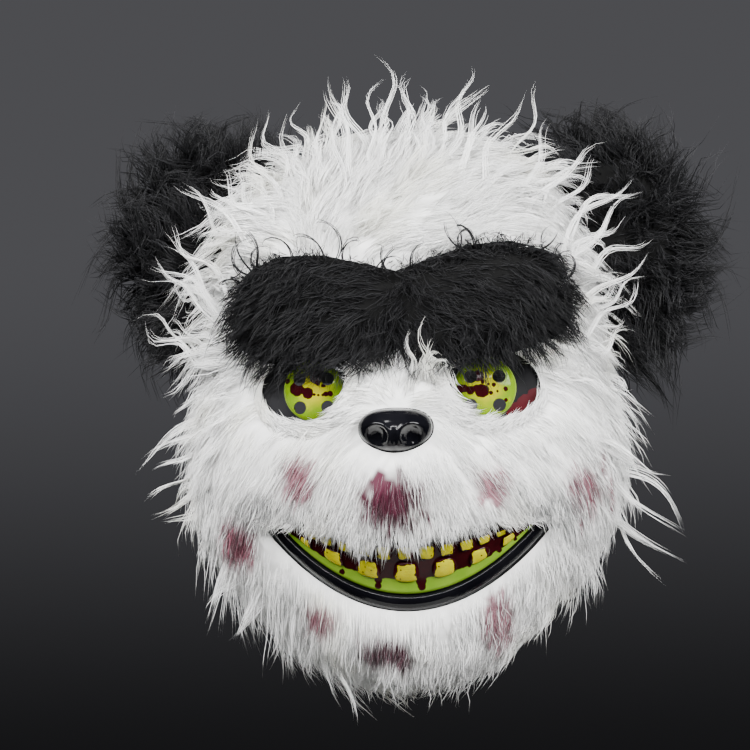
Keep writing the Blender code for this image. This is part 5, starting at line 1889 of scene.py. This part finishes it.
@dataclass
class Ear:
    """A black fur ear: a plump disc behind the rim of the face, with long wavy fur all over it."""

    side: Side
    spread: float = 0.1
    height: float = 0.074
    back: float = 0.012
    half_width: float = 0.043
    half_height: float = 0.056
    half_thickness: float = 0.02
    clearance: float = 0.0116
    inset: float = 0.003
    ceiling: float = 0.146
    tufts: int = 460
    edge_locks: int = 64
    fur: Coat = Coat(9, 5, 0.00034, 0.0056, 0.92, 0.0016, 0.5, 0.0056, 1.2)
    edge_fur: Coat = Coat(8, 9, 0.00027, 0.004, 0.94, 0.0014, 0.5, 0.0062, 1.25)

    @property
    def name(self) -> str:
        """The CAD node's name."""
        return f"ear_{self.side.name.lower()}"

    @property
    def middle(self) -> Array:
        """The disc's middle."""
        return np.array([self.side.value * self.spread, self.back, self.height])

    @property
    def sizes(self) -> Array:
        """The disc's half sizes."""
        return np.array([self.half_width, self.half_thickness, self.half_height]) - self.inset

    def clear_of_head(self, points: Array) -> Array:
        """Points inside the room for the face and head, moved out along their rays to its edge."""
        short = self.clearance - FACE.lift_of(points)
        return points + unit(points - FACE.centre) * np.maximum(short, 0)[..., None]

    def core(self) -> Piece:
        """The plump disc under the fur."""
        ball = FACE.rays(even_angles(72), np.linspace(0, math.pi, 37)[1:-1, None])
        uneven = 1 + 0.03 * ripple(ball, 0.6, 51)[..., None]
        grid = self.clear_of_head(self.middle + ball * self.sizes * uneven)
        poles = self.clear_of_head(self.middle + np.array([[0, -1, 0], [0, 1, 0]]) * self.sizes)
        core = outward(mesh_object(f"{self.name}_core", *capped_grid(grid, poles[0], poles[1])))
        paint(core, "tint", BACKING_BLACK)
        dress(core, DULL_BLACK.material())
        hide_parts(self.name)
        return core

    def swirl(self, points: Array, scale: float, seed: int) -> Array:
        """Slow noise in all three directions."""
        return np.stack([ripple(points, scale, seed + axis) for axis in range(3)], axis=-1)

    def pile(self, growth: Growth) -> None:
        """The fur all over the disc, standing off it outwards and bending with slow noise."""
        rng = growth.rng
        spot = unit(rng.normal(size=(self.tufts * 4, 3)))
        even = np.linalg.norm(spot / self.sizes, axis=-1) * self.half_thickness
        spot = spot[rng.uniform(0, 1, len(spot)) < even]
        root = self.middle + spot * (self.sizes - 0.001)
        free = FACE.lift_of(root) > self.clearance
        root, spot = root[free], spot[free]
        kept = spaced(root, self.tufts)
        root, spot = root[kept], spot[kept]
        normal = unit(spot / self.sizes)
        around = unit((root - self.middle) * (1, 0, 1))
        heading = around * 0.8 + normal * 0.4 + 0.5 * self.swirl(root, 0.04, 52)
        heading = unit(heading + 0.38 * rng.normal(size=root.shape))
        away = unit(root - FACE.centre)
        heading = unit(heading + away * np.maximum(0.25 - (heading * away).sum(-1, keepdims=True), 0))
        edge = smooth(np.linalg.norm(spot * (1, 0, 1), axis=-1), 0.55, 0.95)
        length = (0.024 + 0.013 * edge) * rng.uniform(0.7, 1.2, len(root))
        bend = 0.45 * self.swirl(root, 0.05, 55) - 0.12 * UP
        share = np.linspace(0, 1, 8)[None, :, None]
        path = root[:, None] + length[:, None, None] * (heading[:, None] * share + bend[:, None] * share**2)
        growth.plant(self.fur, self.lowered(path), normal)

    def lowered(self, path: Array) -> Array:
        """Tufts bent down where they rise over the ear's top."""
        return path - UP * 0.6 * np.maximum(path[..., 2:] - self.ceiling, 0)

    def edge(self, growth: Growth) -> None:
        """Long thin locks round the ear's outer edge, each bending over to run along it."""
        rng = growth.rng
        count = self.edge_locks
        angle = rng.uniform(-0.9, 2.3, count)
        out = np.stack([self.side.value * np.cos(angle), 0 * angle, np.sin(angle)], axis=-1)
        root = self.middle + out * (self.sizes - 0.002)
        root = root - FORWARD * rng.uniform(-0.01, 0.01, (count, 1))
        along = np.stack([-self.side.value * np.sin(angle), 0 * angle, np.cos(angle)], axis=-1)
        way = np.where(ripple(root, 0.05, 58) > -0.2, 1.0, -1.0)[:, None]
        length = rng.uniform(0.03, 0.051, (count, 1, 1))
        share = np.linspace(0, 1, 12)[None, :, None]
        turn = rng.uniform(0.2, 1.0, (count, 1))
        path = root[:, None] + length * (
            out[:, None] * share * (1 - 0.25 * share) + (along * way * turn)[:, None] * share**1.8
        )
        path = path + FORWARD * 0.003 * np.sin(6 * share + angle[:, None, None])
        fronts = np.repeat(FORWARD[None], count, axis=0)
        growth.plant(self.edge_fur, self.lowered(path), fronts)

    def build(self) -> list[Piece]:
        """The disc and its fur."""
        growth = Growth(BlackTint(), np.random.default_rng(60 + self.side.value))
        self.pile(growth)
        self.edge(growth)
        return [self.core(), *growth.pieces(f"{self.name}_strands", BLACK_FUR.material())]


# Strap and studio


@dataclass
class HeadStrap:
    """The woven elastic strap: ribbed along its length, tucked inside the rim and looped behind."""

    width: float = 0.015
    thickness: float = 0.0012
    loop_depth: float = 0.125
    height: float = 0.02
    tuck: float = math.radians(11)
    gap: float = 0.0007

    def rim_turn(self, z: Array) -> Array:
        """The turn at which the rim has a height, found by halving."""
        low, high = np.full(np.shape(z), -math.pi / 2), np.full(np.shape(z), math.pi / 2)
        for _ in range(HALVINGS):
            middle = (low + high) / 2
            short = FACE.centre[2] + FACE.rim_reach(middle) * np.sin(middle) < z
            low, high = np.where(short, middle, low), np.where(short, high, middle)
        return low

    def rail(self, z: Array, inwards: Array) -> Array:
        """Points along the strap for each place across it: the shell's inside to the rim, then half an
        ellipse round the back of the head."""
        tilt = np.linspace(math.pi / 2 - self.tuck, math.pi / 2, 8)[:, None]
        tucked = FACE.point(self.rim_turn(z)[None], tilt, -(FACE.wall + self.gap + inwards)[None])
        angle = np.linspace(0, math.pi / 2, 33)[1:, None]
        across = tucked[-1, :, 0] * np.cos(angle)
        back = (self.loop_depth - inwards) * np.sin(angle)
        loop = np.stack([across, back, np.broadcast_to(tucked[-1, :, 2], across.shape)], axis=-1)
        half = np.concatenate([tucked, loop])
        return np.concatenate([half, half[-2::-1] * (-1, 1, 1)])

    def finish(self) -> Material:
        """Woven elastic: two sets of fine waves that cross, in colour and in relief."""
        desk = Desk("woven_elastic")
        sets = []
        for direction, scale in (("Z", 260), ("DIAGONAL", 330)):
            waves = desk.node("ShaderNodeTexWave", bands_direction=direction)
            desk.feed(waves.inputs["Vector"], desk.places)
            waves.inputs["Scale"].default_value = scale
            sets.append(waves.outputs["Fac"])
        weave = desk.math("MULTIPLY", *sets)
        desk.colour(desk.blend(weave, *ELASTIC_BLACK))
        desk.shader.inputs["Roughness"].default_value = 0.75
        desk.bump(weave, 0.0002, 0.6)
        return desk.material

    def build(self) -> Piece:
        """The strap: a ribbed section carried along its rails."""
        up = np.linspace(-1, 1, 27)
        rib = 0.12 * self.thickness * (1 - np.cos(up * 13 * math.pi)) / 2
        z = self.height + up * self.width / 2
        ring_z = np.concatenate([z, z[::-1]])
        ring_in = np.concatenate([rib, self.thickness - rib[::-1]])
        grid = self.rail(ring_z, ring_in)
        ends = grid[[0, -1]].mean(1)
        strap = outward(mesh_object("strap_band", *capped_grid(grid, ends[0], ends[1])))
        dress(strap, self.finish())
        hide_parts("head_strap")
        return strap


@dataclass
class Studio:
    """A pale floor well below the mask, soft lights and a camera at the photograph's angle."""

    azimuth: float = math.radians(4.4)
    elevation: float = math.radians(-2.6)
    roll: float = math.radians(-0.7)
    distance: float = 1.35
    face_plane: float = 0.05
    frame_width: float = 0.374
    sensor_width: float = 36
    aim: tuple[float, float, float] = (-0.0167, 0.0, 0.011)
    lamp_aim: tuple[float, float, float] = (0.0, -0.03, 0.0)
    floor_height: float = -1.3
    floor_size: float = 1.2

    def light(self, name: str, place: tuple, size: tuple, power: float) -> None:
        """A soft rectangular light that points at the mask."""
        data = bpy.data.lights.new(name, "AREA")
        data.shape = "RECTANGLE"
        data.size, data.size_y = size
        data.energy = power
        lamp = bpy.data.objects.new(name, data)
        lamp.location = place
        lamp.rotation_euler = (Vector(self.lamp_aim) - Vector(place)).to_track_quat("-Z", "Y").to_euler()
        bpy.context.scene.collection.objects.link(lamp)

    def backdrop(self) -> None:
        """Dim grey surroundings, darker towards the floor."""
        world = bpy.data.worlds.new("studio")
        bpy.context.scene.world = world
        world.use_nodes = True
        tree = world.node_tree
        place = tree.nodes.new("ShaderNodeTexCoord")
        split = tree.nodes.new("ShaderNodeSeparateXYZ")
        tree.links.new(place.outputs["Generated"], split.inputs[0])
        ease = tree.nodes.new("ShaderNodeMapRange")
        ease.interpolation_type = "SMOOTHSTEP"
        ease.inputs["From Min"].default_value = -0.11
        ease.inputs["From Max"].default_value = 0.1
        tree.links.new(split.outputs["Z"], ease.inputs["Value"])
        tone = tree.nodes.new("ShaderNodeMix")
        tone.data_type = "RGBA"
        tone.inputs[6].default_value = (0.01, 0.01, 0.011, 1)
        tone.inputs[7].default_value = (0.08, 0.08, 0.087, 1)
        tree.links.new(ease.outputs["Result"], tone.inputs[0])
        tree.links.new(tone.outputs[2], tree.nodes["Background"].inputs["Color"])

    def camera(self) -> None:
        """The camera, turned and rolled as in the photograph."""
        data = bpy.data.cameras.new("camera")
        data.sensor_width = self.sensor_width
        data.lens = self.sensor_width * (self.distance - self.face_plane) / self.frame_width
        camera = bpy.data.objects.new("camera", data)
        out = Vector((
            math.sin(self.azimuth) * math.cos(self.elevation),
            -math.cos(self.azimuth) * math.cos(self.elevation),
            math.sin(self.elevation),
        ))
        camera.location = Vector(self.aim) + out * self.distance
        turned = (-out).to_track_quat("-Z", "Y") @ Quaternion((0, 0, 1), self.roll)
        camera.rotation_euler = turned.to_euler()
        bpy.context.scene.collection.objects.link(camera)
        bpy.context.scene.camera = camera

    def build(self) -> None:
        """The floor, lights, surroundings and camera."""
        z = self.floor_height
        half = self.floor_size / 2
        corners = np.array([(-half, -half, z), (half, -half, z), (half, half, z), (-half, half, z)])
        floor = mesh_object("floor", corners, [(0, 1, 2, 3)])
        desk = Desk("floor_paint")
        desk.colour(desk.blend(desk.noise(2, 3), *FLOOR_WHITE))
        desk.shader.inputs["Roughness"].default_value = 0.8
        dress(floor, desk.material)
        self.light("key", (-0.8, -1.2, 0.95), (1.0, 0.9), 70)
        self.light("fill", (1.1, -1.15, 0.6), (0.9, 0.9), 72)
        self.light("strip", (0.0, -1.6, 0.4), (1.5, 0.07), 18)
        self.light("rim_left", (-1.0, 0.7, 0.7), (0.6, 0.6), 3)
        self.light("rim_right", (1.0, 0.7, 0.7), (0.6, 0.6), 3)
        self.backdrop()
        self.camera()


SLOTS = {
    "fur": "white_fur",
    "brow": "black_fur",
    "ear": "black_fur",
    "eye": "eye",
    "shell": "shell",
    "nose": "shell",
    "lip": "shell",
    "gum": "gum",
    "tooth": "tooth",
    "strap": "elastic",
}


def main() -> None:
    """Builds every piece, hangs it on the mask's one body and logs it."""
    Studio().build()
    made: list[Piece] = [Shell().build()]
    made += [EyeForm(side).build() for side in Side]
    grin = Grin()
    made += [NOSE.build(), grin.lip(), grin.gum(), *grin.teeth()]
    made += FaceFur().build()
    made += BrowPatch().build()
    for side in Side:
        made += Ear(side).build()
    made.append(HeadStrap().build())
    for piece in made:
        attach(piece, "root")
        SLOTS[piece.name.split("_")[0]]
        LOG.info("%s: %d faces", piece.name, len(piece.data.polygons))


if __name__ == "__main__":
    logging.basicConfig(level=logging.INFO, format="%(message)s")
    main()
